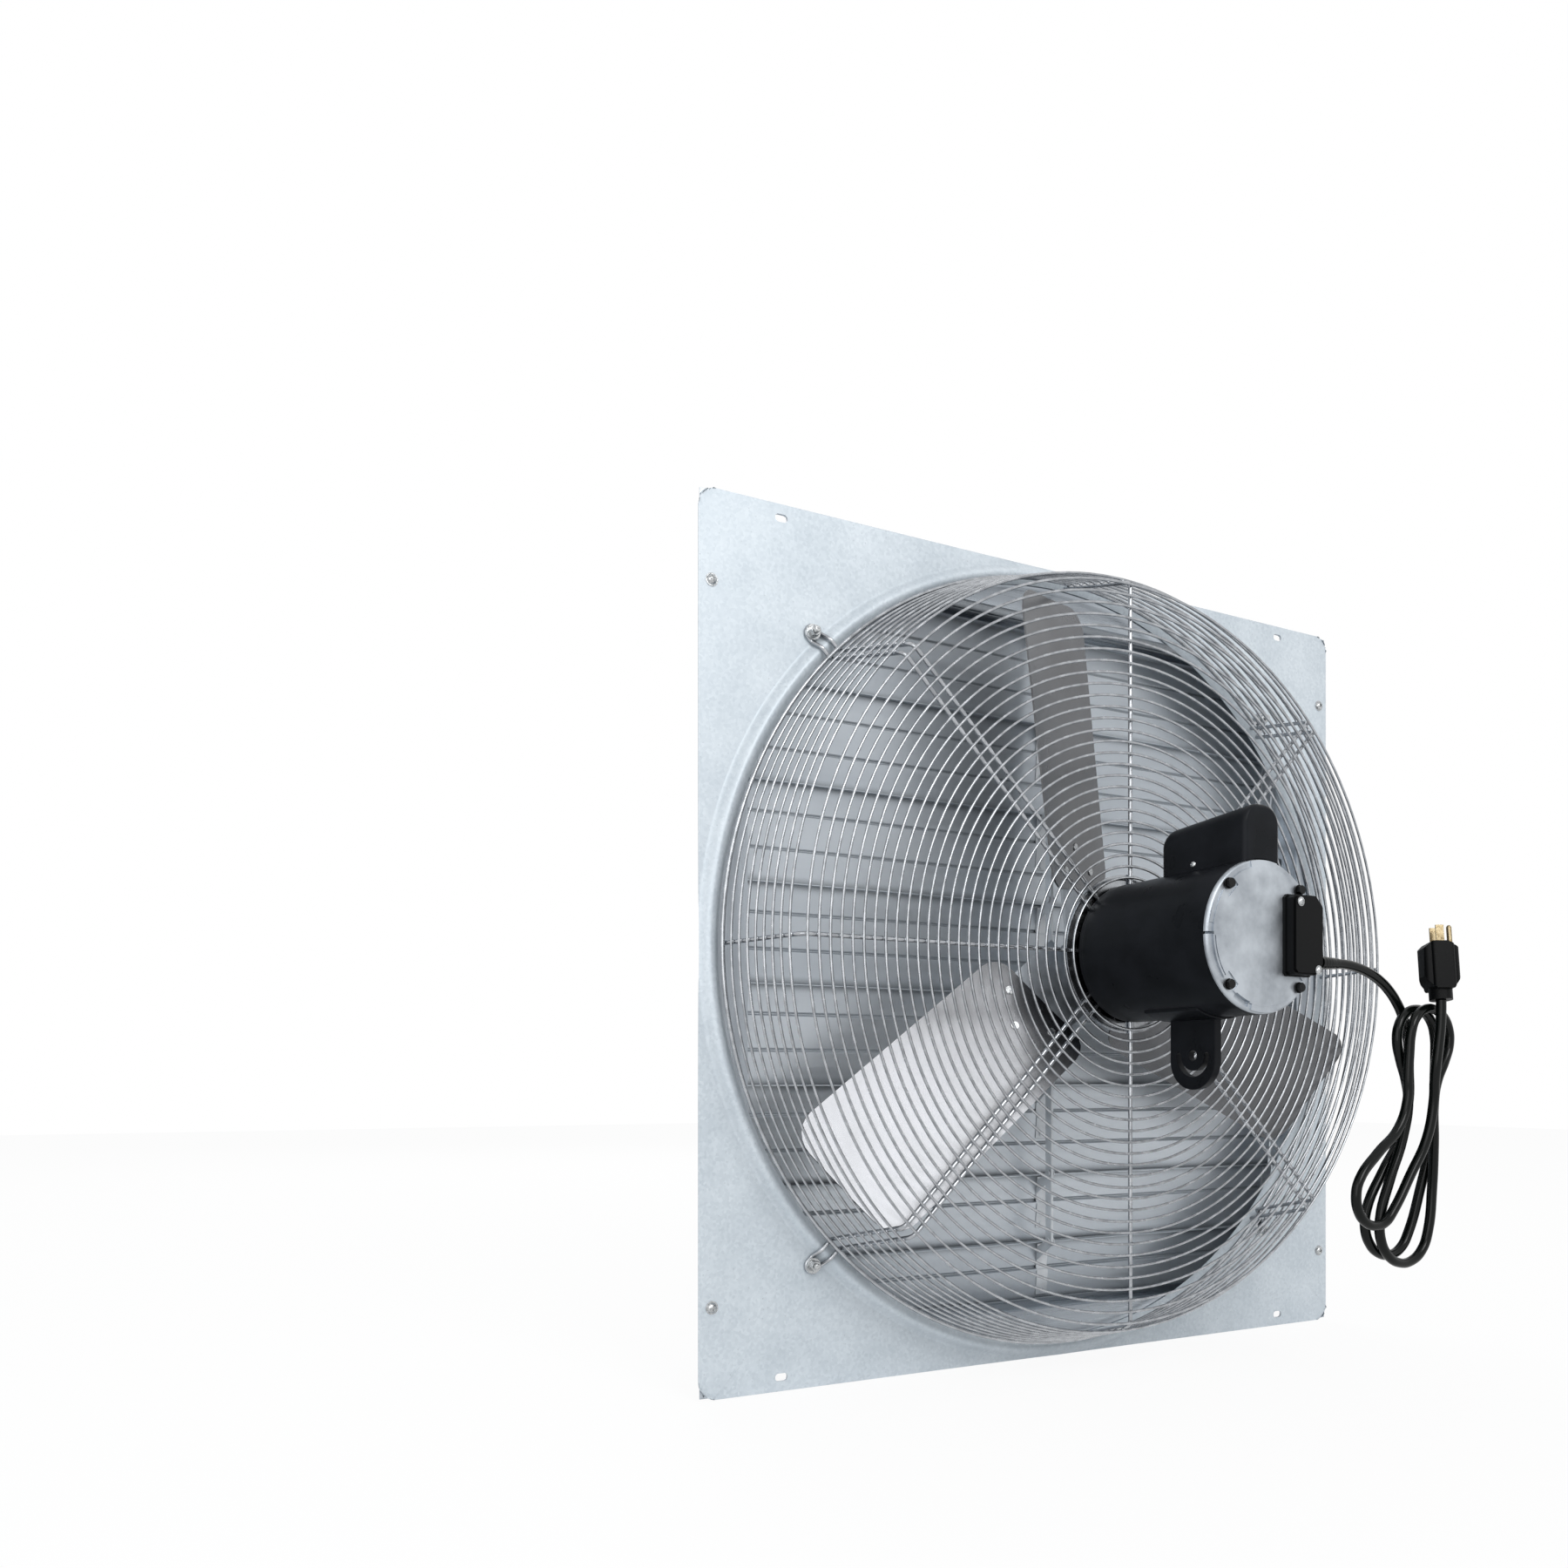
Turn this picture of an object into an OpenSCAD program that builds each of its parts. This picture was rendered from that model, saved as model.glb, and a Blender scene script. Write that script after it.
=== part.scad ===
// Shutter exhaust fan for a wall opening, with a wire guard that carries the motor.
// The fan axis runs along Y. The motor is on the -Y side and the shutter on the +Y side.
// The origin is on the fan axis, in the face of the flange that meets the wall.

/* [Wall frame] */
// Outer width and height of the square flange
flange_w = 889; // [870:1:920]
// Width of the flange outside the box
flange_lip = 40; // [34:1:46]
// Width of the frame's lip inside the box, on the motor side
inner_lip = 10; // [6:1:14]
// Wall thickness of the frame section
frame_t = 1.6; // [1.2:0.1:2]
// Depth of the box in front of the flange
box_depth = 53; // [53:1:66]
// Distance of the wall slots and panel screws from the flange's edge
edge_gap = 12; // [10:1:14]
// Distance of the wall slots and panel screws from the flange's corner
corner_gap = 88.5; // [70:0.5:110]
// Length of a wall slot
slot_len = 14; // [12:1:18]
// Height of a wall slot
slot_h = 8; // [6:0.5:9]
// Depth of the two fine grooves along the flange
groove_d = 0.5; // [0.3:0.1:0.7]

/* [Inlet panel] */
// How far the inlet panel stands out past the flange
panel_over = 2; // [0:0.5:5]
// Sheet thickness of the inlet panel
panel_t = 1.2; // [0.8:0.1:1.6]
// Corner radius of the inlet panel
panel_r = 22; // [14:1:28]
// Distance from the air opening to the flange's edge
throat_gap = 18.5; // [16.5:0.5:26.5]
// Height of the rolled bead round the air opening
bead_h = 8; // [5:0.5:9]
// Width of the bead's inner slope
bead_in = 11; // [9:0.5:12]
// Width of the bead's outer slope
bead_out = 12; // [10:0.5:13]

/* [Louvers] */
// Distance between the pivots of the two short louvers
short_pitch = 79; // [76:0.5:82]
// Distance of the first pivot below the box's top
first_drop = 36.3; // [34.5:0.1:39]
// Distance of the last pivot above the box's bottom
last_rise = 54.5; // [53:0.5:58]
// Distance of the pivots from the wall face
pivot_y = 38.6; // [37:0.2:40]
// Sheet thickness of a louver
louver_t = 1; // [0.8:0.1:1.2]
// Height of a louver above its pivot
louver_top = 25; // [24:0.5:26]
// Gap between the end of a louver and the box
end_gap = 2.5; // [2:0.1:4]
// Radius of a pivot pin
pivot_r = 3; // [2.5:0.1:3.5]
// Radial running clearance of pivots, tie pins and shaft
run_gap = 0.06; // [0.04:0.01:0.1]
// Place of the tie bar across the louvers
tie_x = 5.5; // [0:0.5:12]
// Distance of the tie pins behind the pivots
tie_back = 18; // [17:0.5:20]
// Height of the tie pins above the pivots
tie_up = 28; // [27.5:0.5:29]
// Radius of a tie pin
tie_pin_r = 2.4; // [2:0.1:2.8]

/* [Guard] */
// How far inside the air opening the spokes turn from the front to the side
guard_in = 33; // [28:1:40]
// Distance from the wall face to the spokes' front run
guard_depth = 117; // [114:1:130]
// Radius of the spokes' wire
spoke_r = 2.2; // [1.8:0.1:2.4]
// Radius of the rings' wire
wire_r = 1.4; // [1.2:0.1:1.8]
// Radius of the smallest front ring
first_ring = 80; // [78:0.5:84]
// Number of rings on the guard's front
front_rings = 27; // [20:1:30]
// Number of thin rings on the guard's side
side_rings = 8; // [5:1:9]
// Distance between the two legs of a hairpin spoke
hairpin_gap = 14; // [13:0.5:16]
// Distance of the guard's bolts outside the bead
bolt_gap = 6.4; // [5:0.2:8]

/* [Motor] */
// Radius of the motor shell
shell_r = 72; // [70:0.5:74]
// Wall thickness of the motor shell
shell_t = 2.5; // [1.5:0.1:3]
// Length of the motor over both end bells
motor_len = 172; // [168:1:190]
// Thickness of the rear end bell's rim
bell_t = 15; // [13:0.5:17]
// Radius of the motor shaft
shaft_r = 7.9; // [6:0.1:9]
// How far inside the shell's radius the four long motor bolts sit
bolt_in = 7; // [6.5:0.1:8.5]
// Radius of the long motor bolts
bolt_r = 2.5; // [2:0.1:3]
// Width of the capacitor cover
cap_w = 46; // [44:1:56]
// Length of the capacitor cover
cap_len = 110; // [100:1:114]
// Height of the capacitor cover above the shell
cap_h = 52; // [50:1:58]
// Width of the tilt bracket's ear along the axis
ear_w = 58; // [50:1:64]
// Distance of the tilt bracket's pivot hole from the fan axis
ear_drop = 109; // [106:1:114]

/* [Fan wheel] */
// Number of blades
blades = 3;
// Distance from the blade tips to the edge of the air opening
tip_gap = 32; // [30:1:60]
// Distance of the blade roots from the axis
blade_root = 78; // [72:1:90]
// Width of a blade at its tip
tip_w = 152; // [130:1:160]
// Width of a blade at its root
root_w = 142; // [120:1:150]
// Sheet thickness of a blade
blade_t = 2; // [1.5:0.1:2.5]
// Pitch angle of the blades
blade_pitch = 25; // [18:0.5:27]
// Radius of the blades' camber
camber_r = 900; // [600:10:2000]
// Direction of the first blade
first_blade = 97.6; // [0:0.2:120]
// Distance from the wall face to the middle of the hub
hub_back = 47; // [46:0.5:68]
// Radius of the hub
hub_r = 22; // [20:0.5:26]

/* [Cord and plug] */
// Diameter of the cord
cord_d = 9.5; // [8.5:0.1:9.6]
// Length of the strain relief
relief_len = 24; // [20:1:40]
// Height of the plug body
plug_h = 57; // [52:1:60]

/* [Hidden] */
$fn = 48;

// Gap between pieces that are seated on each other with a curved face
seat = 0.05;
half_w = flange_w / 2;
box_half = half_w - flange_lip;
box_in = box_half - frame_t;
edge_at = half_w - edge_gap;
edge_in = half_w - corner_gap;
panel_w = flange_w + 2 * panel_over;
panel_y = -frame_t - panel_t;
throat_r = half_w - throat_gap;
corner_r = throat_r - guard_in;
blade_tip = throat_r - tip_gap;

// A point of a polygon's round corner
function arc(c, r, a0, a1, n = 6) =
    [for (i = [0 : n]) c + r * [cos(a0 + (a1 - a0) * i / n), sin(a0 + (a1 - a0) * i / n)]];

// A rectangle with round corners, as a flat shape
module round_rect(w, h, r) {
    square([w - 2 * r, h], center = true);
    square([w, h - 2 * r], center = true);
    for (x = [-1, 1], y = [-1, 1])
        translate([x * (w / 2 - r), y * (h / 2 - r)]) circle(r);
}

// Stands a shape drawn in X and Y up in X and Z; its thickness grows toward -Y
module upright(y) {
    translate([0, y, 0]) rotate([90, 0, 0]) children();
}

// A cylinder along Y from y0 to y1
module rod_y(r, y0, y1, x = 0, z = 0) {
    translate([x, y0, z]) rotate([-90, 0, 0]) cylinder(r = r, h = y1 - y0);
}

// A cylinder along X from x0 to x1
module rod_x(r, x0, x1, y = 0, z = 0) {
    translate([x0, y, z]) rotate([0, 90, 0]) cylinder(r = r, h = x1 - x0);
}

// A straight wire from point to point
module wire(a, b, r) {
    d = b - a;
    translate(a)
        rotate([0, acos(d[2] / norm(d)), atan2(d[1], d[0])])
            cylinder(r = r, h = norm(d));
}

// A slot with round ends, as a flat shape
module slot_shape(len, h) {
    square([len - h, h], center = true);
    for (x = [-1, 1]) translate([x * (len - h) / 2, 0]) circle(h / 2);
}

/* Wall frame: one extruded section, cut to a mitre at both ends */

groove_in = 10;
groove_w = 1.2;

// Section of the frame: across is the distance from the fan axis, up is +Y
module frame_section() {
    difference() {
        translate([box_in - inner_lip, -frame_t])
            square([half_w - box_in + inner_lip, frame_t]);
        for (k = [1, 1.45])
            translate([half_w - groove_in * k, -groove_d]) square([groove_w, groove_d + 1]);
    }
    translate([box_in, -frame_t]) square([frame_t, box_depth + frame_t]);
}

// One side of the frame, drawn as the right-hand one
module frame_side() {
    long = half_w + 1;
    intersection() {
        translate([0, 0, -long]) linear_extrude(2 * long) frame_section();
        rotate([90, 0, 0])
            translate([0, 0, -box_depth - 1])
                linear_extrude(box_depth + frame_t + 2)
                    polygon([[0, 0], [long, -long], [long, long]]);
    }
}

module wall_slots() {
    for (x = [-1, 1], z = [-1, 1])
        translate([x * edge_in, 0, z * edge_at])
            upright(1) linear_extrude(frame_t + panel_t + 2) slot_shape(slot_len, slot_h);
}

screw_r = 2.4;
screw_slot = 12;

module panel_screw_holes(r) {
    for (x = [-1, 1], z = [-1, 1])
        rod_y(r, -frame_t - 1, 1, x * edge_at, z * edge_in);
}

module frame_right() {
    color("silver") difference() {
        frame_side();
        panel_screw_holes(screw_r + 0.3);
        pivot_holes();
    }
}

module frame_left() {
    color("silver") mirror([1, 0, 0]) difference() {
        frame_side();
        panel_screw_holes(screw_r + 0.3);
        pivot_holes();
    }
}

module frame_top() {
    color("silver") difference() {
        rotate([0, -90, 0]) frame_side();
        wall_slots();
    }
}

module frame_bottom() {
    color("silver") mirror([0, 0, 1]) difference() {
        rotate([0, -90, 0]) frame_side();
        wall_slots();
    }
}

clip_leg = 22;
clip_t = 1.5;

// Angle clips inside the four corners of the box
module corner_clips() {
    color("gainsboro") for (x = [-1, 1], z = [-1, 1]) scale([x, 1, z]) {
        translate([box_in - clip_leg, 4, box_in - clip_t]) cube([clip_leg, 20, clip_t]);
        translate([box_in - clip_t, 4, box_in - clip_leg]) cube([clip_t, 20, clip_leg - clip_t]);
    }
}

ledge_t = 1.2;
ledge_len = 2 * (box_in - 4);

// Rain ledge over the first louver
module top_ledge() {
    color("silver") {
        translate([-ledge_len / 2, pivot_y + 1.5, box_in - ledge_t]) cube([ledge_len, 10, ledge_t]);
        translate([-ledge_len / 2, pivot_y + 11.5 - ledge_t, box_in - 8])
            cube([ledge_len, ledge_t, 8 - ledge_t]);
    }
}

// Stop strip behind the last louver
module bottom_ledge() {
    stop_h = stop_lap + 5;
    color("silver") {
        translate([-ledge_len / 2, pivot_y - 6, -box_in]) cube([ledge_len, 12, ledge_t]);
        translate([-ledge_len / 2, pivot_y + 6 - ledge_t, -box_in + ledge_t])
            cube([ledge_len, ledge_t, stop_h - ledge_t]);
    }
}

/* Inlet panel: a flat sheet with a rolled bead round the air opening */

crest_r = throat_r + bead_in;
foot_r = crest_r + bead_out;

// Height of the bead's front face above the panel at radius r
function bead(r) =
    r < crest_r ? bead_h * sin(90 * (r - throat_r) / bead_in)
    : r < foot_r ? bead_h * (1 + cos(180 * (r - crest_r) / bead_out)) / 2
    : 0;

bead_steps = 6;
bead_radii = concat(
    [for (i = [0 : bead_steps]) throat_r + bead_in * i / bead_steps],
    [for (i = [1 : bead_steps]) crest_r + bead_out * i / bead_steps]
);
reach_r = panel_w * 0.75;

module inlet_panel() {
    front = [for (r = bead_radii) [r, -bead(r)]];
    back = [for (i = [len(bead_radii) - 1 : -1 : 0]) front[i] + [0, panel_t]];
    color("lightsteelblue") difference() {
        intersection() {
            translate([0, panel_y, 0]) rotate([-90, 0, 0])
                rotate_extrude($fn = 120)
                    polygon(concat(front, [[reach_r, 0], [reach_r, panel_t]], back));
            upright(0) linear_extrude(bead_h + 10) round_rect(panel_w, panel_w, panel_r);
        }
        wall_slots();
        for (x = [-1, 1], z = [-1, 1]) {
            translate([x * edge_at, 0, z * edge_in])
                upright(0) linear_extrude(5) rotate(90) slot_shape(screw_slot, 2 * screw_r + 0.8);
            rod_y(guard_bolt_r + 0.3, panel_y - 1, 1, x * guard_bolt, z * guard_bolt);
        }
    }
}

// Pan-head screws with washers that hold the panel to the flange and end flush with its wall face
module panel_screws() {
    color("gainsboro") for (x = [-1, 1], z = [-1, 1])
        translate([x * edge_at, 0, z * edge_in]) {
            rod_y(screw_r, panel_y - 1, -seat);
            rod_y(6.5, panel_y - 0.8, panel_y);
            translate([0, panel_y - 0.8, 0]) rotate([90, 0, 0])
                rotate_extrude() polygon(concat([[0, 0]], arc([2, 0], 3.4, 0, 90, 4), [[0, 3.4]]));
        }
}

/* Louvers: index 0 is the top one */

louvers = 8;
tall = 6;
louver_pitch = (2 * box_in - first_drop - last_rise - short_pitch) / tall;

function louver_z(i) = box_in - first_drop - min(i, tall) * louver_pitch - max(0, i - tall) * short_pitch;

// How far a louver reaches below its pivot
lap = 2.5;
stop_lap = 7.9;
function louver_low(i) =
    i < tall ? louver_top - louver_pitch - lap
    : i == tall ? louver_top - short_pitch - lap
    : stop_lap - last_rise;

// Front line of a louver in Y and Z from its pivot, from the top down
face_y = 8;
facet_rise = 3.4;
ridge_back = 2.3;
ridge_1 = -6;
ridge_2 = -44;
ridge_h = 4.8;
lip_h = 2;

function louver_front(low, ridges) =
    let (
        valley = [face_y + facet_rise - ridge_back, ridge_1 - ridge_h],
        crest = [face_y + facet_rise + 1, ridge_2]
    )
    concat(
        [[face_y, louver_top], [face_y + facet_rise, ridge_1], valley],
        ridges == 1 ? [[between(valley, crest, low + lip_h), low + lip_h]]
        : [crest, crest - [ridge_back, ridge_h], crest + [0.6, low + lip_h - ridge_2]]
    );

function shifted(points, dy) = [for (p = points) p + [dy, 0]];
function reversed(points) = [for (i = [len(points) - 1 : -1 : 0]) points[i]];

// Height on a straight facet: the Y value at height z between two points
function between(a, b, z) = a[0] + (b[0] - a[0]) * (z - a[1]) / (b[1] - a[1]);

louver_half = box_in - end_gap;
hem = 4;

module louver_shape(i) {
    low = louver_low(i);
    front = louver_front(low, i < tall ? 2 : 1);
    last = front[len(front) - 1];
    back = shifted(front, -louver_t);
    polygon(concat(
        [[face_y - hem, louver_top]],
        front,
        [last + [-2.4, -lip_h], last + [-2.4 - louver_t, -lip_h + louver_t / 2]],
        reversed([for (k = [1 : len(back) - 1]) back[k]]),
        [[between(back[0], back[1], louver_top - louver_t), louver_top - louver_t]],
        [[face_y - hem, louver_top - louver_t]]
    ));
}

// Stands a shape drawn in Y and Z across the fan, from x0 to x1
module across(x0, x1) {
    translate([x0, 0, 0]) rotate([90, 0, 90]) linear_extrude(x1 - x0) children();
}

rivet_z = [15.8, -33.6];
rivet_shank = 2;
rivet_x = [-louver_half + 7, tie_x + 10.5, louver_half - 7];
facet_a = atan2(facet_rise, louver_top - ridge_1);
facet_b = atan2(ridge_back + 1, ridge_1 - ridge_h - ridge_2);

// Puts children on the louver's front face at rivet k, facing out along +Z
module at_rivet(k) {
    front = louver_front(louver_low(0), 2);
    y = k == 0 ? between(front[0], front[1], rivet_z[0]) : between(front[2], front[3], rivet_z[1]);
    translate([0, y, rivet_z[k]]) rotate([-90 + (k == 0 ? facet_a : facet_b), 0, 0]) children();
}

module louver(i) {
    color("lightgray") translate([0, pivot_y, louver_z(i)]) difference() {
        across(-louver_half, louver_half) louver_shape(i);
        for (x = rivet_x, k = [0, 1])
            translate([x, 0, 0]) at_rivet(k)
                translate([0, 0, -6]) cylinder(r = rivet_shank + 0.05, h = 12);
    }
}

bracket_t = 1.2;
bracket_w = 16;
ear_r = 6.5;

// The strip of a bracket that lies on the back of the louver
module bracket_strip() {
    front = louver_front(louver_low(0), 2);
    z0 = rivet_z[0] + 6;
    z1 = rivet_z[1] - 5;
    line = [
        [between(front[0], front[1], z0), z0], front[1], front[2],
        [between(front[2], front[3], z1), z1]
    ];
    polygon(concat(shifted(line, -louver_t), reversed(shifted(line, -louver_t - bracket_t))));
}

// The ear of an end bracket, round its pivot
module pivot_ear() {
    front = louver_front(louver_low(0), 2);
    deep = louver_t + bracket_t / 2;
    difference() {
        union() {
            circle(ear_r);
            polygon([
                [0, ear_r], [between(front[0], front[1], 12) - deep, 12],
                [between(front[0], front[1], -4) - deep, -4], [0, -ear_r]
            ]);
        }
        circle(pivot_r + run_gap);
    }
}

// The arm of the middle bracket, out to its tie pin
module tie_arm() {
    front = louver_front(louver_low(0), 2);
    deep = louver_t + bracket_t / 2;
    pin = [-tie_back, tie_up];
    translate(pin) circle(5);
    polygon([
        pin + [1, 4.9], [between(front[0], front[1], 18) - deep, 18],
        [between(front[0], front[1], 2) - deep, 2], pin + [-3, -4]
    ]);
}

arm_x = tie_x + 2.5;
tie_t = 3;

module louver_brackets(i) {
    translate([0, pivot_y, louver_z(i)]) {
        color("silver") {
            for (side = [-1, 1]) scale([side, 1, 1]) difference() {
                union() {
                    across(louver_half - bracket_w, louver_half) bracket_strip();
                    across(louver_half - bracket_t, louver_half) pivot_ear();
                }
                rivet_holes(louver_half - 7);
            }
            difference() {
                union() {
                    across(arm_x, arm_x + bracket_w) bracket_strip();
                    across(arm_x, arm_x + bracket_t) tie_arm();
                    rod_x(tie_pin_r, tie_x - tie_t / 2 - 1, arm_x, -tie_back, tie_up);
                    rod_x(tie_pin_r + 1.4, tie_x - tie_t / 2 - 2, tie_x - tie_t / 2 - 0.5, -tie_back, tie_up);
                }
                rivet_holes(rivet_x[1]);
            }
        }
        color("dimgray") for (x = rivet_x, k = [0, 1])
            translate([x, 0, 0]) at_rivet(k) louver_rivet();
    }
}

module rivet_holes(x) {
    for (k = [0, 1])
        translate([x, 0, 0]) at_rivet(k)
            translate([0, 0, -6]) cylinder(r = rivet_shank + 0.05, h = 12);
}

// A domed rivet through the louver and its bracket
module louver_rivet() {
    grip = louver_t + bracket_t;
    translate([0, 0, -grip - 0.3]) cylinder(r = rivet_shank, h = grip + 0.3);
    translate([0, 0, -grip - 1.2]) cylinder(r = 3.2, h = 1);
    rotate_extrude() polygon(concat([[0, 0.02]], [[4, 0.02]], arc([2.4, 0.02], 1.6, 0, 90, 4), [[0, 1.62]]));
}

module pivot_holes() {
    for (i = [0 : louvers - 1])
        rod_x(pivot_r + seat, box_in - 1, box_half + 1, pivot_y, louver_z(i));
}

// Rivets in the sides of the box on which the louvers turn
module louver_pivots() {
    color("gainsboro") for (i = [0 : louvers - 1], side = [-1, 1]) scale([side, 1, 1])
        translate([0, pivot_y, louver_z(i)]) {
            rod_x(pivot_r, louver_half - bracket_t - 2.5, box_half + 0.5);
            translate([box_half, 0, 0]) rotate([0, 90, 0])
                rotate_extrude() polygon(concat([[0, 0], [6, 0]], arc([3.6, 0], 2.4, 0, 90, 4), [[0, 2.4]]));
        }
}

tie_half = 5;

// Flat bar that makes the louvers open together
module tie_bar() {
    top = louver_z(0) + tie_up;
    bottom = louver_z(louvers - 1) + tie_up;
    y = pivot_y - tie_back;
    color("silver") difference() {
        union() {
            translate([tie_x - tie_t / 2, y - tie_half, bottom]) cube([tie_t, 2 * tie_half, top - bottom]);
            for (z = [bottom, top]) rod_x(tie_half, tie_x - tie_t / 2, tie_x + tie_t / 2, y, z);
        }
        for (i = [0 : louvers - 1])
            rod_x(tie_pin_r + run_gap, tie_x - tie_t, tie_x + tie_t, y, louver_z(i) + tie_up);
    }
}

/* Guard: rings welded on single and hairpin spokes, bolted to the panel at four places */

guard_bolt_r = 3;
bolt_far = foot_r + bolt_gap;
guard_bolt = bolt_far / sqrt(2);
leg_y = panel_y - spoke_r;
over_y = panel_y - bead_h - spoke_r - 0.8;
base_y = over_y - 2 * spoke_r - seat;
rise_r = throat_r - 1.5;
side_slope = (rise_r - corner_r) / (guard_depth + over_y);
spoke_front = -guard_depth;
ring_y = spoke_front - spoke_r - wire_r - seat;
bend_r = 9;

// Radius of the spokes' side run at the distance y
function side_r(y) = corner_r + side_slope * (y + guard_depth);

// A ring of wire round the fan axis; the many thin rings have an eight-sided section to stay light
module ring(r, y, wire, sides = 8) {
    translate([0, y, 0]) rotate([90, 0, 0])
        rotate_extrude($fn = 120) translate([r, 0]) rotate(180 / sides) circle(wire, $fn = sides);
}

module guard_front_rings() {
    pitch = (corner_r - 3.6 - first_ring) / (front_rings - 1);
    color("gainsboro") for (k = [0 : front_rings - 1]) ring(first_ring + k * pitch, ring_y, wire_r);
}

module guard_side_rings() {
    out = 1 / cos(atan(side_slope));
    pitch = (base_y - spoke_front) / (side_rings + 1);
    color("gainsboro") {
        ring(side_r(base_y) + (2 * spoke_r + seat) * out, base_y, spoke_r, 24);
        for (k = [1 : side_rings])
            ring(side_r(base_y - k * pitch) + (spoke_r + wire_r + seat) * out, base_y - k * pitch, wire_r);
    }
}

plate_in = 54;
plate_out = 84;
plate_t = 2.5;
spoke_end = plate_in + 4;

// Hair gap between the straights and bends of one wire, so that each stays a true cylinder or torus
join = 0.02;

// A bent wire through the points p, drawn in X and Y, with a bend radius for each inner point
module bent_wire(p, bends) {
    last = len(p) - 1;
    d = [for (i = [0 : last - 1]) (p[i + 1] - p[i]) / norm(p[i + 1] - p[i])];
    turn = [for (i = [1 : last - 1])
        atan2(d[i - 1][0] * d[i][1] - d[i - 1][1] * d[i][0], d[i - 1] * d[i])];
    back = [for (i = [0 : last]) i == 0 || i == last ? 0 : bends[i - 1] * tan(abs(turn[i - 1]) / 2)];
    for (i = [0 : last - 1]) {
        a = p[i] + (i == 0 ? 0 : back[i] + join) * d[i];
        b = p[i + 1] - (i == last - 1 ? 0 : back[i + 1] + join) * d[i];
        wire([a[0], a[1], 0], [b[0], b[1], 0], spoke_r);
    }
    for (i = [1 : last - 1]) {
        way = turn[i - 1] > 0 ? 1 : -1;
        side = way * [-d[i - 1][1], d[i - 1][0]];
        c = p[i] - back[i] * d[i - 1] + bends[i - 1] * side;
        from = atan2(-side[1], -side[0]) + min(turn[i - 1], 0);
        translate([c[0], c[1], 0]) rotate(from) rotate_extrude(angle = abs(turn[i - 1]))
            translate([bends[i - 1], 0]) circle(spoke_r);
    }
}

guard_corner = [[corner_r, spoke_front], [spoke_end, spoke_front]];

module guard_spokes() {
    color("silver") for (k = [0 : 3]) rotate([0, -90 * k, 0])
        bent_wire(concat([[side_r(over_y + 1), over_y + 1]], guard_corner), [bend_r]);
}

// Hairpin spokes: two legs joined by a flat loop round a bolt on the panel
module guard_hairpins() {
    leg = [[bolt_far, leg_y], [foot_r + 0.5, leg_y], [crest_r + 2, over_y], [side_r(over_y), over_y]];
    color("silver") for (k = [0 : 3]) rotate([0, -90 * k - 45, 0]) {
        for (side = [-1, 1]) translate([0, 0, side * hairpin_gap / 2])
            bent_wire(concat(leg, guard_corner), [6, 6, 2 * spoke_r + seat, bend_r]);
        translate([bolt_far + join, leg_y, 0]) rotate([90, 0, 0])
            rotate([0, 0, -90]) rotate_extrude(angle = 180)
                translate([hairpin_gap / 2, 0]) circle(spoke_r);
    }
}

module guard_bolts() {
    clamp_y = leg_y - spoke_r;
    color("gainsboro") for (x = [-1, 1], z = [-1, 1])
        translate([x * guard_bolt, 0, z * guard_bolt]) {
            rod_y(guard_bolt_r, clamp_y - 9, -frame_t);
            rod_y(6.5, -frame_t, -frame_t + 2.5);
            rod_y(8, clamp_y - 1.5, clamp_y - seat);
            translate([0, clamp_y - 1.5, 0]) rotate([90, 0, 0]) cylinder(r = 5.8, h = 5, $fn = 6);
        }
}

/* Motor: bolted against the spokes, with the shaft toward the wall */

motor_front = spoke_front - spoke_r - seat;
motor_back = motor_front - motor_len;
front_rim = 5;
shell_y0 = motor_back + bell_t;
shell_y1 = motor_front - front_rim;
bore_r = shell_r - shell_t;
bolt_circle = shell_r - bolt_in;
bearing_r = 20;
bearing_w = 12;
front_seat = motor_front - 6;
rear_seat = shell_y0 + 6;

module on_bolt_circle() {
    for (a = [45 : 90 : 315]) rotate([0, -a, 0]) translate([bolt_circle, 0, 0]) children();
}

// Flat steel ring behind the spokes, clamped by the motor bolts
module motor_plate() {
    y1 = spoke_front + spoke_r + seat;
    color("silver") difference() {
        rod_y(plate_out, y1, y1 + plate_t);
        rod_y(plate_in, y1 - 1, y1 + plate_t + 1);
        on_bolt_circle() rod_y(bolt_r + 0.3, y1 - 1, y1 + plate_t + 1);
    }
}

nut_y = spoke_front + spoke_r + seat + plate_t;

module motor_nuts() {
    color("black") on_bolt_circle() difference() {
        union() {
            rod_y(6, nut_y, nut_y + 1.2);
            translate([0, nut_y + 1.2, 0]) rotate([-90, 0, 0]) cylinder(r = 5, h = 4.5, $fn = 6);
        }
        rod_y(bolt_r + seat, nut_y - 1, nut_y + 8);
    }
}

module motor_bolts() {
    color("black") on_bolt_circle() {
        rod_y(bolt_r, motor_back - 1, nut_y + 9);
        translate([0, motor_back - 4.5, 0]) rotate([-90, 0, 0]) cylinder(r = 5, h = 4.5, $fn = 6);
        translate([0, motor_back - 4.5, 0]) rotate([-90, 0, 0]) cylinder(r = 5.6, h = 1);
    }
}

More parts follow.
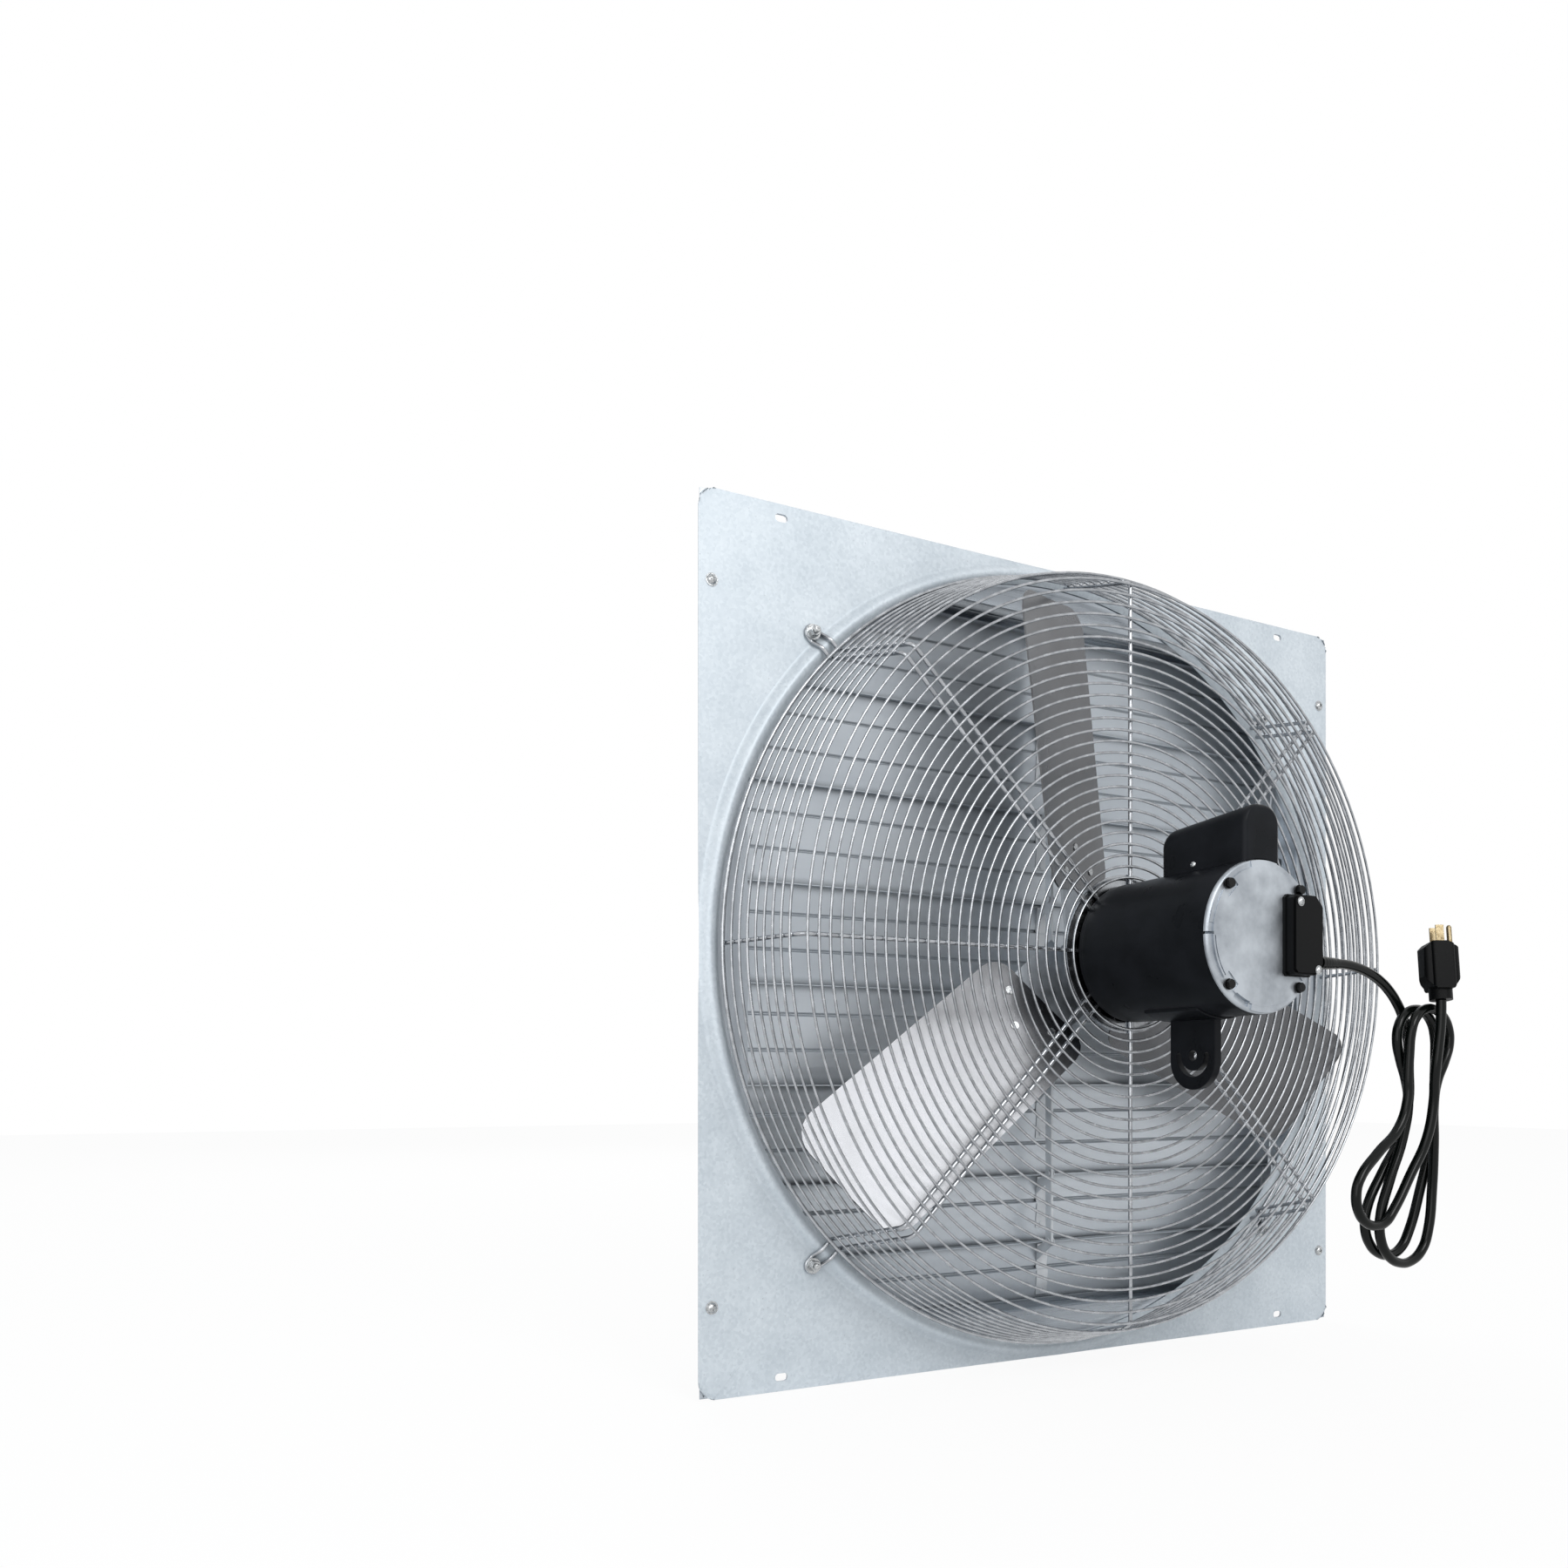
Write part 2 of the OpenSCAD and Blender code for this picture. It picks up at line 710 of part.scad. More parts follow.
// Front casting: a dish with a bearing seat
module front_end_bell() {
    color("dimgray") difference() {
        union() {
            rod_y(shell_r, shell_y1, motor_front);
            rod_y(bore_r - seat, shell_y1 - 6, shell_y1);
            rod_y(bearing_r + 6, shell_y1 - 16, motor_front);
        }
        rod_y(bearing_r + seat, shell_y1 - 17, front_seat);
        rod_y(shaft_r + 1, front_seat - 1, motor_front + 1);
        difference() {
            rod_y(bore_r - 6, shell_y1 - 7, shell_y1 - 0.5);
            rod_y(bearing_r + 6, shell_y1 - 17, motor_front + 1);
        }
        on_bolt_circle() rod_y(bolt_r + 0.3, shell_y1 - 8, motor_front + 1);
    }
}

rim_drop = 1.6;
face_r = shell_r - 7;
rim_groove = 1.2;

// Part of a ring round the motor's axis, from angle a0 to a1 seen from behind, counted from the right
module ring_part(r0, r1, a0, a1, y0, y1) {
    translate([0, y0, 0]) rotate([-90, 0, 0]) rotate([0, 0, -a1])
        rotate_extrude(angle = a1 - a0, $fn = 96) translate([r0, 0]) square([r1 - r0, y1 - y0]);
}

// An angular pocket round a long bolt, open toward the rim
module bolt_pocket(a, w, deep) {
    rotate([0, -a, 0]) translate([bolt_circle - 9, motor_back - 1, -w / 2]) cube([shell_r, deep + 1, w]);
}

// Rear casting: a flat face inside a lower rim, with two tabs, rim steps and pockets round the bolts
module rear_end_bell() {
    edge = 3;
    color("silver") difference() {
        union() {
            translate([0, motor_back, 0]) rotate([-90, 0, 0]) rotate_extrude($fn = 96)
                polygon(concat(
                    [[0, 0], [face_r, 0], [face_r, rim_drop]],
                    arc([shell_r - edge, edge + rim_drop], edge, -90, 0, 4),
                    [[shell_r, bell_t], [0, bell_t]]
                ));
            for (a = [76, 256])
                ring_part(face_r - 4, shell_r - 1.2, a, a + 28, motor_back + 0.2, motor_back + bell_t - 1);
            ring_part(face_r - 2, shell_r - 2.5, 154, 172, motor_back + 0.8, motor_back + bell_t - 1);
            rod_y(bore_r - seat, shell_y0, shell_y0 + 6);
            rod_y(bearing_r + 6, shell_y0, rear_seat + bearing_w);
        }
        rod_y(bearing_r + seat, rear_seat, rear_seat + bearing_w + 1);
        difference() {
            rod_y(bore_r - 6, shell_y0 - 7, shell_y0 + 7);
            rod_y(bearing_r + 6, shell_y0 - 8, shell_y0 + 8);
            on_bolt_circle() rod_y(7.5, shell_y0 - 8, shell_y0 + 8);
        }
        on_bolt_circle() rod_y(bolt_r + 0.3, motor_back - 1, shell_y0 + 8);
        for (a = [45 : 90 : 315]) bolt_pocket(a, 17, 1.2);
        ring_part(face_r - 3, face_r - 3 + rim_groove, 182, 218, motor_back - 1, motor_back + 1);
        ring_part(face_r - 1.2, shell_r - 2.9, 236, 253, motor_back - 1, motor_back + 4);
        for (a = [0, 180])
            ring_part(face_r - 0.6, shell_r + 1, a - 1, a + 1, motor_back - 1, motor_back + 6);
    }
}

module motor_shell() {
    color([0.08, 0.08, 0.09]) difference() {
        rod_y(shell_r, shell_y0, shell_y1);
        rod_y(bore_r, shell_y0 - 1, shell_y1 + 1);
    }
}

core_mid = (shell_y0 + shell_y1) / 2;
core_len = 68;
rotor_r = 44;

module stator_core() {
    color("slategray") difference() {
        rod_y(bore_r - seat, core_mid - core_len / 2, core_mid + core_len / 2);
        rod_y(rotor_r + 0.6, core_mid - core_len, core_mid + core_len);
        on_bolt_circle() rod_y(bolt_r + 0.3, core_mid - core_len, core_mid + core_len);
    }
}

// The two bundles of copper that stand out of the core
module stator_windings() {
    color("peru") for (side = [-1, 1])
        translate([0, core_mid + side * (core_len / 2 + 9), 0]) rotate([90, 0, 0])
            rotate_extrude($fn = 72) translate([rotor_r + 10, 0]) {
                square([8, 18], center = true);
                square([14, 10], center = true);
            }
}

module rotor_core() {
    color("gray") difference() {
        rod_y(rotor_r, core_mid - core_len / 2, core_mid + core_len / 2);
        rod_y(shaft_r + seat, core_mid - core_len, core_mid + core_len);
        for (a = [0 : 45 : 315]) rotate([0, a, 0])
            rod_y(6, core_mid - core_len, core_mid + core_len, x = 25);
    }
}

shaft_tip = -hub_back + 26;

module motor_shaft() {
    color("lightgray") difference() {
        rod_y(shaft_r, rear_seat + 1, shaft_tip);
        translate([shaft_r - 1.2, -hub_back - 26, -shaft_r]) cube([4, 54, 2 * shaft_r]);
    }
}

module motor_bearings() {
    color("lightgray") for (y = [front_seat - bearing_w, rear_seat])
        difference() {
            rod_y(bearing_r, y + seat, y + bearing_w);
            rod_y(shaft_r + run_gap, y - 1, y + bearing_w + 1);
            translate([0, y, 0]) rotate([-90, 0, 0])
                rotate_extrude() translate([11.5, 0]) square([5, 1.2]);
            translate([0, y + bearing_w - 1.2, 0]) rotate([-90, 0, 0])
                rotate_extrude() translate([11.5, 0]) square([5, 1.3]);
        }
}

/* Capacitor under its drawn cover on top of the shell */

cap_y0 = motor_back + 2;
cap_y1 = cap_y0 + cap_len;
cap_top = shell_r + cap_h;
cap_wall = 1.5;
cap_round = 19;
cap_fall = 12;

// Outline of the cover from the side: its top falls a little toward the front
module cap_side(inset) {
    y0 = cap_y0 + inset;
    y1 = cap_y1 - inset;
    top = cap_top - inset;
    r = cap_round - inset;
    polygon(concat(
        [[y0, 0]],
        arc([y0 + 5, top - 5], 5, 180, 90, 3),
        arc([y1 - r, top - cap_fall - r + 4], r, 80, 0, 6),
        [[y1, 0]]
    ));
}

// Outline of the cover from behind
module cap_end(inset) {
    w = cap_w / 2 - inset;
    r = cap_round - inset;
    top = cap_top - inset;
    polygon(concat(
        [[-w, 0]],
        arc([-w + r, top - r], r, 180, 90, 6),
        arc([w - r, top - r], r, 90, 0, 6),
        [[w, 0]]
    ));
}

module cap_block(inset) {
    intersection() {
        across(-cap_w, cap_w) cap_side(inset);
        upright(cap_y1 + 5) linear_extrude(cap_len + 10) cap_end(inset);
    }
}

module capacitor_cover() {
    color([0.07, 0.07, 0.08]) difference() {
        cap_block(0);
        cap_block(cap_wall);
        rod_y(shell_r + seat, cap_y0 - 10, cap_y1 + 10);
        cap_screw_holes(1.8);
    }
}

cap_screw_y = (cap_y0 + cap_y1) / 2 + 8;

module cap_screw_holes(r) {
    for (side = [-1, 1])
        rod_x(r, side > 0 ? cap_w / 2 - 4 : -cap_w / 2 - 4, side > 0 ? cap_w / 2 + 4 : 4 - cap_w / 2,
            cap_screw_y, shell_r + 3);
}

module capacitor_screws() {
    color("silver") for (side = [-1, 1]) scale([side, 1, 1]) {
        rod_x(1.7, cap_w / 2 - 3, cap_w / 2 + 1, cap_screw_y, shell_r + 3);
        rod_x(3.4, cap_w / 2, cap_w / 2 + 1.8, cap_screw_y, shell_r + 3);
    }
}

can_r = 18;

module capacitor() {
    z = shell_r + can_r + 3;
    y0 = cap_y0 + 8;
    color("gainsboro") {
        rod_y(can_r, y0, y0 + 80, 0, z);
        translate([-9, y0 + 10, shell_r + 0.4]) cube([18, 60, 6]);
    }
}

/* Terminal cover on the rear casting, where the cord goes in */

term_x0 = 24;
term_x1 = 66;
term_z0 = -36;
term_z1 = 41;
term_t = 13;
term_cut = 9;
cord_z = -22;

module terminal_shape(inset) {
    x0 = term_x0 + inset;
    x1 = term_x1 - inset;
    z0 = term_z0 + inset;
    z1 = term_z1 - inset;
    c = term_cut;
    polygon([
        [x0, z0 + 3], [x0 + 3, z0], [x1 - c, z0], [x1, z0 + c],
        [x1, z1 - c], [x1 - c, z1], [x0 + 3, z1], [x0, z1 - 3]
    ]);
}

module terminal_cover() {
    color([0.05, 0.05, 0.06]) difference() {
        union() {
            upright(motor_back - seat) linear_extrude(3) terminal_shape(0);
            upright(motor_back - seat - 3) linear_extrude(term_t - 5) terminal_shape(1.2);
            upright(motor_back - seat - term_t + 2) linear_extrude(2) terminal_shape(3);
        }
        on_terminal_screws() rod_y(1.9, motor_back - 30, motor_back + 3);
    }
}

module on_terminal_screws() {
    translate([term_x0 + 9, 0, term_z1 - 8]) children();
    translate([term_x1 - 9, 0, term_z0 + 6]) children();
}

module terminal_screws() {
    y = motor_back - seat - term_t;
    color("silver") on_terminal_screws() {
        rod_y(1.8, y, motor_back - 0.2);
        rod_y(4, y - 2, y);
    }
}

// The moulded grip round the cord where it leaves the terminal cover
relief_y = motor_back - seat - term_t / 2;

module strain_relief() {
    x0 = term_x1;
    color([0.05, 0.05, 0.06]) translate([x0, relief_y, cord_z]) rotate([0, 90, 0]) {
        cylinder(r1 = 6.2, r2 = cord_d / 2 + 0.6, h = relief_len);
        for (k = [1 : 4]) translate([0, 0, k * 4]) cylinder(r = 6.4 - k * 0.2, h = 1.6);
    }
}

/* Tilt bracket under the shell */

ear_mid = motor_back + 84;
ear_deep = 9;
saddle_t = 2.5;
saddle_arc = 34;

// Outline of the ear, in Y and Z
module ear_shape() {
    r = ear_w / 2;
    translate([ear_mid, -ear_drop - 5]) circle(r);
    translate([ear_mid - r, -ear_drop - 5]) square([2 * r, ear_drop + 5 - shell_r + 2]);
}

module tilt_bracket() {
    color([0.06, 0.06, 0.07]) difference() {
        union() {
            across(-ear_deep / 2, ear_deep / 2) ear_shape();
            intersection() {
                difference() {
                    rod_y(shell_r + saddle_t, ear_mid - ear_w / 2 - 6, ear_mid + ear_w / 2 + 6);
                    rod_y(shell_r + seat, ear_mid - ear_w, ear_mid + ear_w);
                }
                translate([-saddle_arc, ear_mid - ear_w, -shell_r - 10])
                    cube([2 * saddle_arc, 2 * ear_w, shell_r]);
            }
        }
        rod_y(shell_r + seat, ear_mid - ear_w, ear_mid + ear_w);
        rod_x(5.5, -20, 20, ear_mid, -ear_drop);
        across(-20, 20) tilt_slot();
    }
}

// Half-round slot under the pivot hole
module tilt_slot() {
    r = 18;
    w = 6;
    translate([ear_mid, -ear_drop]) {
        intersection() {
            difference() {
                circle(r + w / 2);
                circle(r - w / 2);
            }
            translate([-40, -40]) square([80, 40]);
        }
        for (side = [-1, 1]) translate([side * r, 0]) circle(w / 2);
    }
}

/* Fan wheel */

hub_y = -hub_back;
hub_len = 46;
arm_reach = 62;
arm_far = blade_root + arm_reach;
arm_w = 84;
arm_t = 3;

// A strip of a cylinder: the blades' and arms' curved section, drawn in X and Y
module camber_strip(w, r0, r1) {
    intersection() {
        translate([0, -camber_r]) difference() {
            circle(r1, $fn = 180);
            circle(r0, $fn = 180);
        }
        translate([-w / 2, -tip_w]) square([w, 2 * tip_w]);
    }
}

// Turns a piece drawn with its span along +Z and its chord along X into blade k's place
module at_blade(k) {
    a = first_blade + 360 / blades * k;
    translate([0, hub_y, 0]) rotate([0, 90 - a, 0]) rotate([0, 0, blade_pitch]) children();
}

tip_round = 30;
root_round = 24;

module blade_outline() {
    wt = tip_w / 2;
    wr = root_w / 2;
    polygon(concat(
        arc([wt - tip_round, blade_tip - tip_round], tip_round, 0, 90),
        arc([-wt + tip_round, blade_tip - tip_round], tip_round, 90, 180),
        arc([-wr + root_round, blade_root + root_round], root_round, 180, 270, 4),
        arc([wr - root_round, blade_root + root_round], root_round, 270, 360, 4)
    ));
}

rivet_side = 32;
rivet_low = blade_root + 20;
rivet_high = blade_root + 46;
blade_rivet_at = [[-rivet_side, rivet_low], [rivet_side, rivet_low], [0, rivet_high]];

module blade_rivet_holes(r) {
    for (p = blade_rivet_at) translate([p[0], -15, p[1]]) rotate([-90, 0, 0]) cylinder(r = r, h = 30);
}

module blade(k) {
    color("lightgray") at_blade(k) difference() {
        intersection() {
            linear_extrude(blade_tip) camber_strip(tip_w + 10, camber_r - blade_t, camber_r);
            translate([0, tip_w, 0]) rotate([90, 0, 0]) linear_extrude(2 * tip_w) blade_outline();
        }
        blade_rivet_holes(2.55);
    }
}

// Cast hub with three curved arms that carry the blades
module hub() {
    color("gray") difference() {
        union() {
            rod_y(hub_r, hub_y - hub_len / 2, hub_y + hub_len / 2);
            for (k = [0 : blades - 1]) at_blade(k) difference() {
                translate([0, 0, hub_r * 0.6]) linear_extrude(arm_far - hub_r * 0.6)
                    camber_strip(arm_w, camber_r, camber_r + arm_t);
                blade_rivet_holes(2.55);
            }
        }
        rod_y(shaft_r + seat, hub_y - hub_len, hub_y + hub_len);
        translate([0, hub_y + 16, 0]) cylinder(r = 3.05, h = hub_r + 5);
    }
}

module blade_rivets() {
    color("gainsboro") {
        for (k = [0 : blades - 1]) at_blade(k)
            for (p = blade_rivet_at) translate([p[0], 0, p[1]]) blade_rivet(p[0]);
        translate([0, hub_y + 16, shaft_r + 0.2]) cylinder(r = 3, h = hub_r - shaft_r - 2);
    }
}

// A rivet through a blade and its arm, at the distance x from the blade's middle line
module blade_rivet(x) {
    y = sqrt(camber_r * camber_r - x * x) - camber_r;
    rotate([-90, 0, -asin(x / camber_r)]) translate([0, 0, 0]) {
        translate([0, 0, y - blade_t - 1.2]) cylinder(r = 4.6, h = 1.15);
        translate([0, 0, y - blade_t - 1]) cylinder(r = 2.4, h = blade_t + arm_t + 2);
        translate([0, 0, y + arm_t + 0.05]) cylinder(r = 4.6, h = 1.2);
    }
}

/* Cord: a lead from the terminal cover, a hank, and a moulded plug */

// Points of the lead from the end of the strain relief to the hank
lead_from = [term_x1 + relief_len, relief_y, cord_z];
lead_way = [
    [0, 0, 0], [10, 0, 0], [28, 0, -2], [46, 0.4, -6.5], [63, 1.2, -13], [79, 2.2, -22.5],
    [92.5, 3.2, -34.5], [103, 4, -48.5], [110, 4.6, -64], [113, 4.8, -80], [113, 4.8, -90]
];
lead_points = [for (p = lead_way) lead_from + p];

// The hank is one line through five half loops that are drawn in at the waist
hank_from = lead_points[len(lead_points) - 1];
hank_drop = 40;
waist_half = 20;
hank_step = 10.8;
hank_shift = 16;
// Each half loop: centre across and up from the waist, bend radius, lean, way (up or down)
half_loops = [
    [-52, -121, 34, -23, -1], [-8, 60, 29, -6, 1], [-26, -125, 37, -12, -1],
    [14, 60, 29.5, 10, 1], [-66, -92, 29, -33, -1]
];
run_steps = 3;
bend_steps = 6;
hank_end = [31, 87.5];

function herm(a, da, b, db, t) = let (m = norm(b - a))
    (2 * t * t * t - 3 * t * t + 1) * a + (t * t * t - 2 * t * t + t) * m * da
    + (3 * t * t - 2 * t * t * t) * b + (t * t * t - t * t) * m * db;

// Layer of half loop i before its own climb; the line climbs only on the right of the waist
function layer(i) = floor(i / 2);
function point3(p, rise) = [p[0] - hank_shift * rise, -hank_step * rise, p[1]];

function half_loop(i) =
    let (
        h = half_loops[i], way = h[4],
        a = [sin(h[3]), way * cos(h[3])], n = [-a[1], a[0]],
        c = [h[0], h[1]], w = h[2],
        p0 = [way * waist_half, 0], p1 = c - w * n, p2 = c + w * n, p3 = -p0,
        low = layer(i)
    )
    concat(
        [for (k = [0 : run_steps - 1]) let (t = k / run_steps)
            point3(herm(p0, [0, way], p1, a, t), low + (way > 0 ? 0.5 + 0.5 * min(1, t * 1.5) : 0))],
        [for (k = [0 : bend_steps - 1]) let (t = 180 * k / bend_steps)
            point3(c - w * cos(t) * n + w * sin(t) * a, low + (way > 0 ? 1 : 0))],
        [for (k = [0 : run_steps - 1]) let (t = k / run_steps)
            point3(herm(p2, -a, p3, [0, -way], t),
                low + (way > 0 ? 1 : 0.5 * max(0, t * 1.5 - 0.5)))]
    );

loops_line = [for (i = [0 : len(half_loops) - 1], p = half_loop(i)) p];
end_steps = 5;
end_line = concat(
    [for (k = [0 : end_steps]) let (t = k / end_steps)
        point3(herm([waist_half, 0], [0, 1], hank_end, [0, 1], t),
            layer(len(half_loops)) + 0.5 + 0.5 * min(1, t * 2))],
    [point3(hank_end + [0, cord_d], layer(len(half_loops)) + 1)]
);
waist_at = hank_from + [waist_half, 0, -hank_drop];
hank_points = concat(
    [hank_from, hank_from - [0, 0, cord_d]],
    [for (p = concat(loops_line, end_line)) waist_at + p]
);

// Least gap of the hank to itself, from each of its points to its other stretches
function reach(p, a, b) =
    let (t = max(0, min(1, (p - a) * (b - a) / ((b - a) * (b - a))))) norm(p - a - t * (b - a));
hank_gap = min([for (i = [0 : len(hank_points) - 1], j = [0 : len(hank_points) - 2])
    if (abs(i - j) > 3 && abs(i - j - 1) > 3)
        reach(hank_points[i], hank_points[j], hank_points[j + 1])]) - cord_d;
cord_length = relief_len
    + sum([for (i = [1 : len(lead_points) - 1]) norm(lead_points[i] - lead_points[i - 1])])
    + sum([for (i = [1 : len(hank_points) - 1]) norm(hank_points[i] - hank_points[i - 1])]);
function sum(v, i = 0) = i == len(v) ? 0 : v[i] + sum(v, i + 1);
echo(hank_gap = hank_gap, cord_length = cord_length);

function unit(v) = v / norm(v);
function along(p, i) = unit(p[min(len(p) - 1, i + 1)] - p[max(0, i - 1)]);

// Carries a side direction along a line without twist
function carried(p, i, s) =
    i == len(p) ? []
    : let (d = along(p, i), n = unit(s - (s * d) * d)) concat([n], carried(p, i + 1, n));

// A closed tube of n sides along the points of p
module tube(p, r, n, first_side) {
    side = carried(p, 0, first_side);
    rings = [for (i = [0 : len(p) - 1], k = [0 : n - 1])
        let (d = along(p, i), s = side[i], u = cross(d, s))
            p[i] + r * (cos(360 * k / n) * s + sin(360 * k / n) * u)];
    last = len(p) - 1;
    walls = [for (i = [0 : last - 1], k = [0 : n - 1], half = [0, 1])
        let (a = i * n + k, b = i * n + (k + 1) % n)
            half == 0 ? [a, b, b + n] : [a, b + n, a + n]];
    caps = [for (k = [1 : n - 2], end = [0, 1])
        end == 0 ? [0, k + 1, k] : [last * n, last * n + k, last * n + k + 1]];
    polyhedron(rings, concat(walls, caps));
}

module cord_lead() {
    color([0.05, 0.05, 0.06]) tube(lead_points, cord_d / 2, 8, [0, 1, 0]);
}

module cord_hank() {
    color([0.05, 0.05, 0.06]) tube(hank_points, cord_d / 2, 6, [0, 1, 0]);
}

plug_at = hank_points[len(hank_points) - 1];
plug_turn = 239;
plug_lean = 8;
collar_h = 12;
plug_w = 34;
plug_d = 27;
pin_at = 12;
pin_r = 2.4;
pin_from = plug_h - 7;

// The plug stands on the cord's end, with its prongs up and its ground pin along +Y
module at_plug() {
    translate(plug_at) rotate([0, 0, plug_turn]) rotate([0, -plug_lean, 0]) children();
}

// Outline of the body from the side: shoulders below and a corner cut off above the collar
module plug_side() {
    h = plug_w / 2;
    shoulder = plug_w * 0.3;
    z0 = collar_h + 11;
    polygon([
        [-8, collar_h - 2], [8, collar_h - 2], [h - 2, z0 - 4], [h, z0], [h, plug_h - 6],
        [6, plug_h - 1], [4, plug_h], [-shoulder, plug_h], [-h + 0.5, plug_h - 6],
        [-h, z0], [-h + 3, z0 - 6]
    ]);
}

module plug_body() {
    color([0.05, 0.05, 0.06]) at_plug() difference() {
        union() {
            cylinder(r = 10.5, h = collar_h);
            translate([0, 0, collar_h - 1]) cylinder(r1 = 8.8, r2 = 12, h = 12);
            intersection() {
                across(-plug_d / 2, plug_d / 2) plug_side();
                union() {
                    linear_extrude(plug_h + 1) round_rect(plug_d - 6, plug_w, 6);
                    linear_extrude(plug_h + 1) round_rect(plug_d, plug_w * 0.62, 3);
                }
            }
        }
        translate([0, pin_at, pin_from - seat]) cylinder(r = pin_r + seat, h = plug_h);
    }
}

blade_gap = 12.7;
prong_w = 7.8;

module plug_prongs() {
    color("gold") at_plug() {
        for (x = [-1, 1]) translate([x * blade_gap / 2 - 0.75, -prong_w / 2, plug_h]) cube([1.5, prong_w, 17.5]);
        translate([0, pin_at, pin_from]) cylinder(r = pin_r, h = 23.5);
        translate([0, pin_at, pin_from + 23.5]) cylinder(r1 = pin_r, r2 = 1.2, h = 2);
    }
}

frame_top();
frame_bottom();
frame_left();
frame_right();
corner_clips();
top_ledge();
bottom_ledge();
inlet_panel();
panel_screws();
louver_pivots();
guard_front_rings();
guard_side_rings();
guard_spokes();
guard_hairpins();
guard_bolts();
motor_plate();
motor_nuts();
front_end_bell();
rear_end_bell();
motor_shell();
stator_core();
stator_windings();
rotor_core();
motor_shaft();
motor_bearings();
motor_bolts();
capacitor_cover();
capacitor();
capacitor_screws();
terminal_cover();
terminal_screws();
tilt_bracket();
strain_relief();
cord_lead();
cord_hank();
plug_body();
plug_prongs();
hub();
blade(0);  // blade_1
blade(1);  // blade_2
blade(2);  // blade_3
blade_rivets();
tie_bar();
louver(0);  // louver_1
louver(1);  // louver_2
louver(2);  // louver_3
louver(3);  // louver_4
louver(4);  // louver_5
louver(5);  // louver_6
louver(6);  // louver_7
louver(7);  // louver_8
louver_brackets(0);  // brackets_1
louver_brackets(1);  // brackets_2
louver_brackets(2);  // brackets_3
louver_brackets(3);  // brackets_4
louver_brackets(4);  // brackets_5
louver_brackets(5);  // brackets_6
louver_brackets(6);  // brackets_7
louver_brackets(7);  // brackets_8
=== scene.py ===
# A shutter exhaust fan for a wall: a wire guard carries its motor and wheel, and louvers close its back.
# The fan axis runs along Y. The room and the motor are on the -Y side, and the louvers on the +Y side.
import bmesh
import bpy
import math
from mathutils import Matrix, Vector


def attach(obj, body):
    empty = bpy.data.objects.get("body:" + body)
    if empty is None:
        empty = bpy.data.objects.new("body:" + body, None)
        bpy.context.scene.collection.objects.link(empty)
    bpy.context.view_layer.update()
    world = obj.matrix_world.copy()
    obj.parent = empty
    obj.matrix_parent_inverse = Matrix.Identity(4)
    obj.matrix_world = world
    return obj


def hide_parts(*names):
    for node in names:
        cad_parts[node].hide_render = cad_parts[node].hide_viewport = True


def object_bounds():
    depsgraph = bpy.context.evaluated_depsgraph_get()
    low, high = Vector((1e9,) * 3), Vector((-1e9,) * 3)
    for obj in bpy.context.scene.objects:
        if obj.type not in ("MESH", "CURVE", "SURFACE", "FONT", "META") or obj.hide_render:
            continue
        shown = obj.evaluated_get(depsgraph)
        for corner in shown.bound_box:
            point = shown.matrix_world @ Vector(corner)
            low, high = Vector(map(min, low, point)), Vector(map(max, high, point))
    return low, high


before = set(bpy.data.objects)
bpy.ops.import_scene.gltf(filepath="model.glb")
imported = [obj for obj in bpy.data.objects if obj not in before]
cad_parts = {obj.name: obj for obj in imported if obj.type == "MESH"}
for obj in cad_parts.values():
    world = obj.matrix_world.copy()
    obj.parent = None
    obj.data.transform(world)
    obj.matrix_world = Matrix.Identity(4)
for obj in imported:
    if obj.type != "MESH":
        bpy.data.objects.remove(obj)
cad_low, cad_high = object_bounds()


# The camera stands low, in front of the motor side and left of it.
# It is level, and its frame is shifted so that the horizon lies below the middle of the picture.
bpy.ops.object.camera_add(location=(-0.9016, -1.0734, -0.1334),
                          rotation=(math.radians(90), 0, math.radians(-27.13)))
camera = bpy.context.object
camera.name = "camera"
camera.data.sensor_width = 36
camera.data.lens = 27.4
camera.data.shift_y = 340 / 1800
camera.data.clip_start = 0.01
bpy.context.scene.camera = camera


# Plain studio: a pale floor, an even white surround, and wide soft lamps at the left, in front and behind.
# The camera and mirror-like surfaces see plain white all round, with the fan's faint shadow on the floor.
def linear(code):
    levels = [int(code[i:i + 2], 16) / 255 for i in (1, 3, 5)]
    return [v / 12.92 if v <= 0.04045 else ((v + 0.055) / 1.055) ** 2.4 for v in levels] + [1]


def add(tree, kind, values=None, links=None, **settings):
    node = tree.nodes.new(kind)
    for name, value in settings.items():
        setattr(node, name, value)
    for socket, value in (values or {}).items():
        node.inputs[socket].default_value = value
    for socket, source in (links or {}).items():
        tree.links.new(source, node.inputs[socket])
    return node


def new_finish(name, colour, metallic, roughness):
    finish = bpy.data.materials.new(name)
    finish.use_nodes = True
    shader = finish.node_tree.nodes["Principled BSDF"]
    shader.inputs["Base Color"].default_value = linear(colour)
    shader.inputs["Metallic"].default_value = metallic
    shader.inputs["Roughness"].default_value = roughness
    return finish, finish.node_tree, shader


def seen_in_studio(tree):
    path = add(tree, "ShaderNodeLightPath").outputs
    seen = path["Is Camera Ray"]
    for kind in ("Is Glossy Ray", "Is Transmission Ray"):
        seen = add(tree, "ShaderNodeMath", links={0: seen, 1: path[kind]}, operation="MAXIMUM").outputs[0]
    return seen


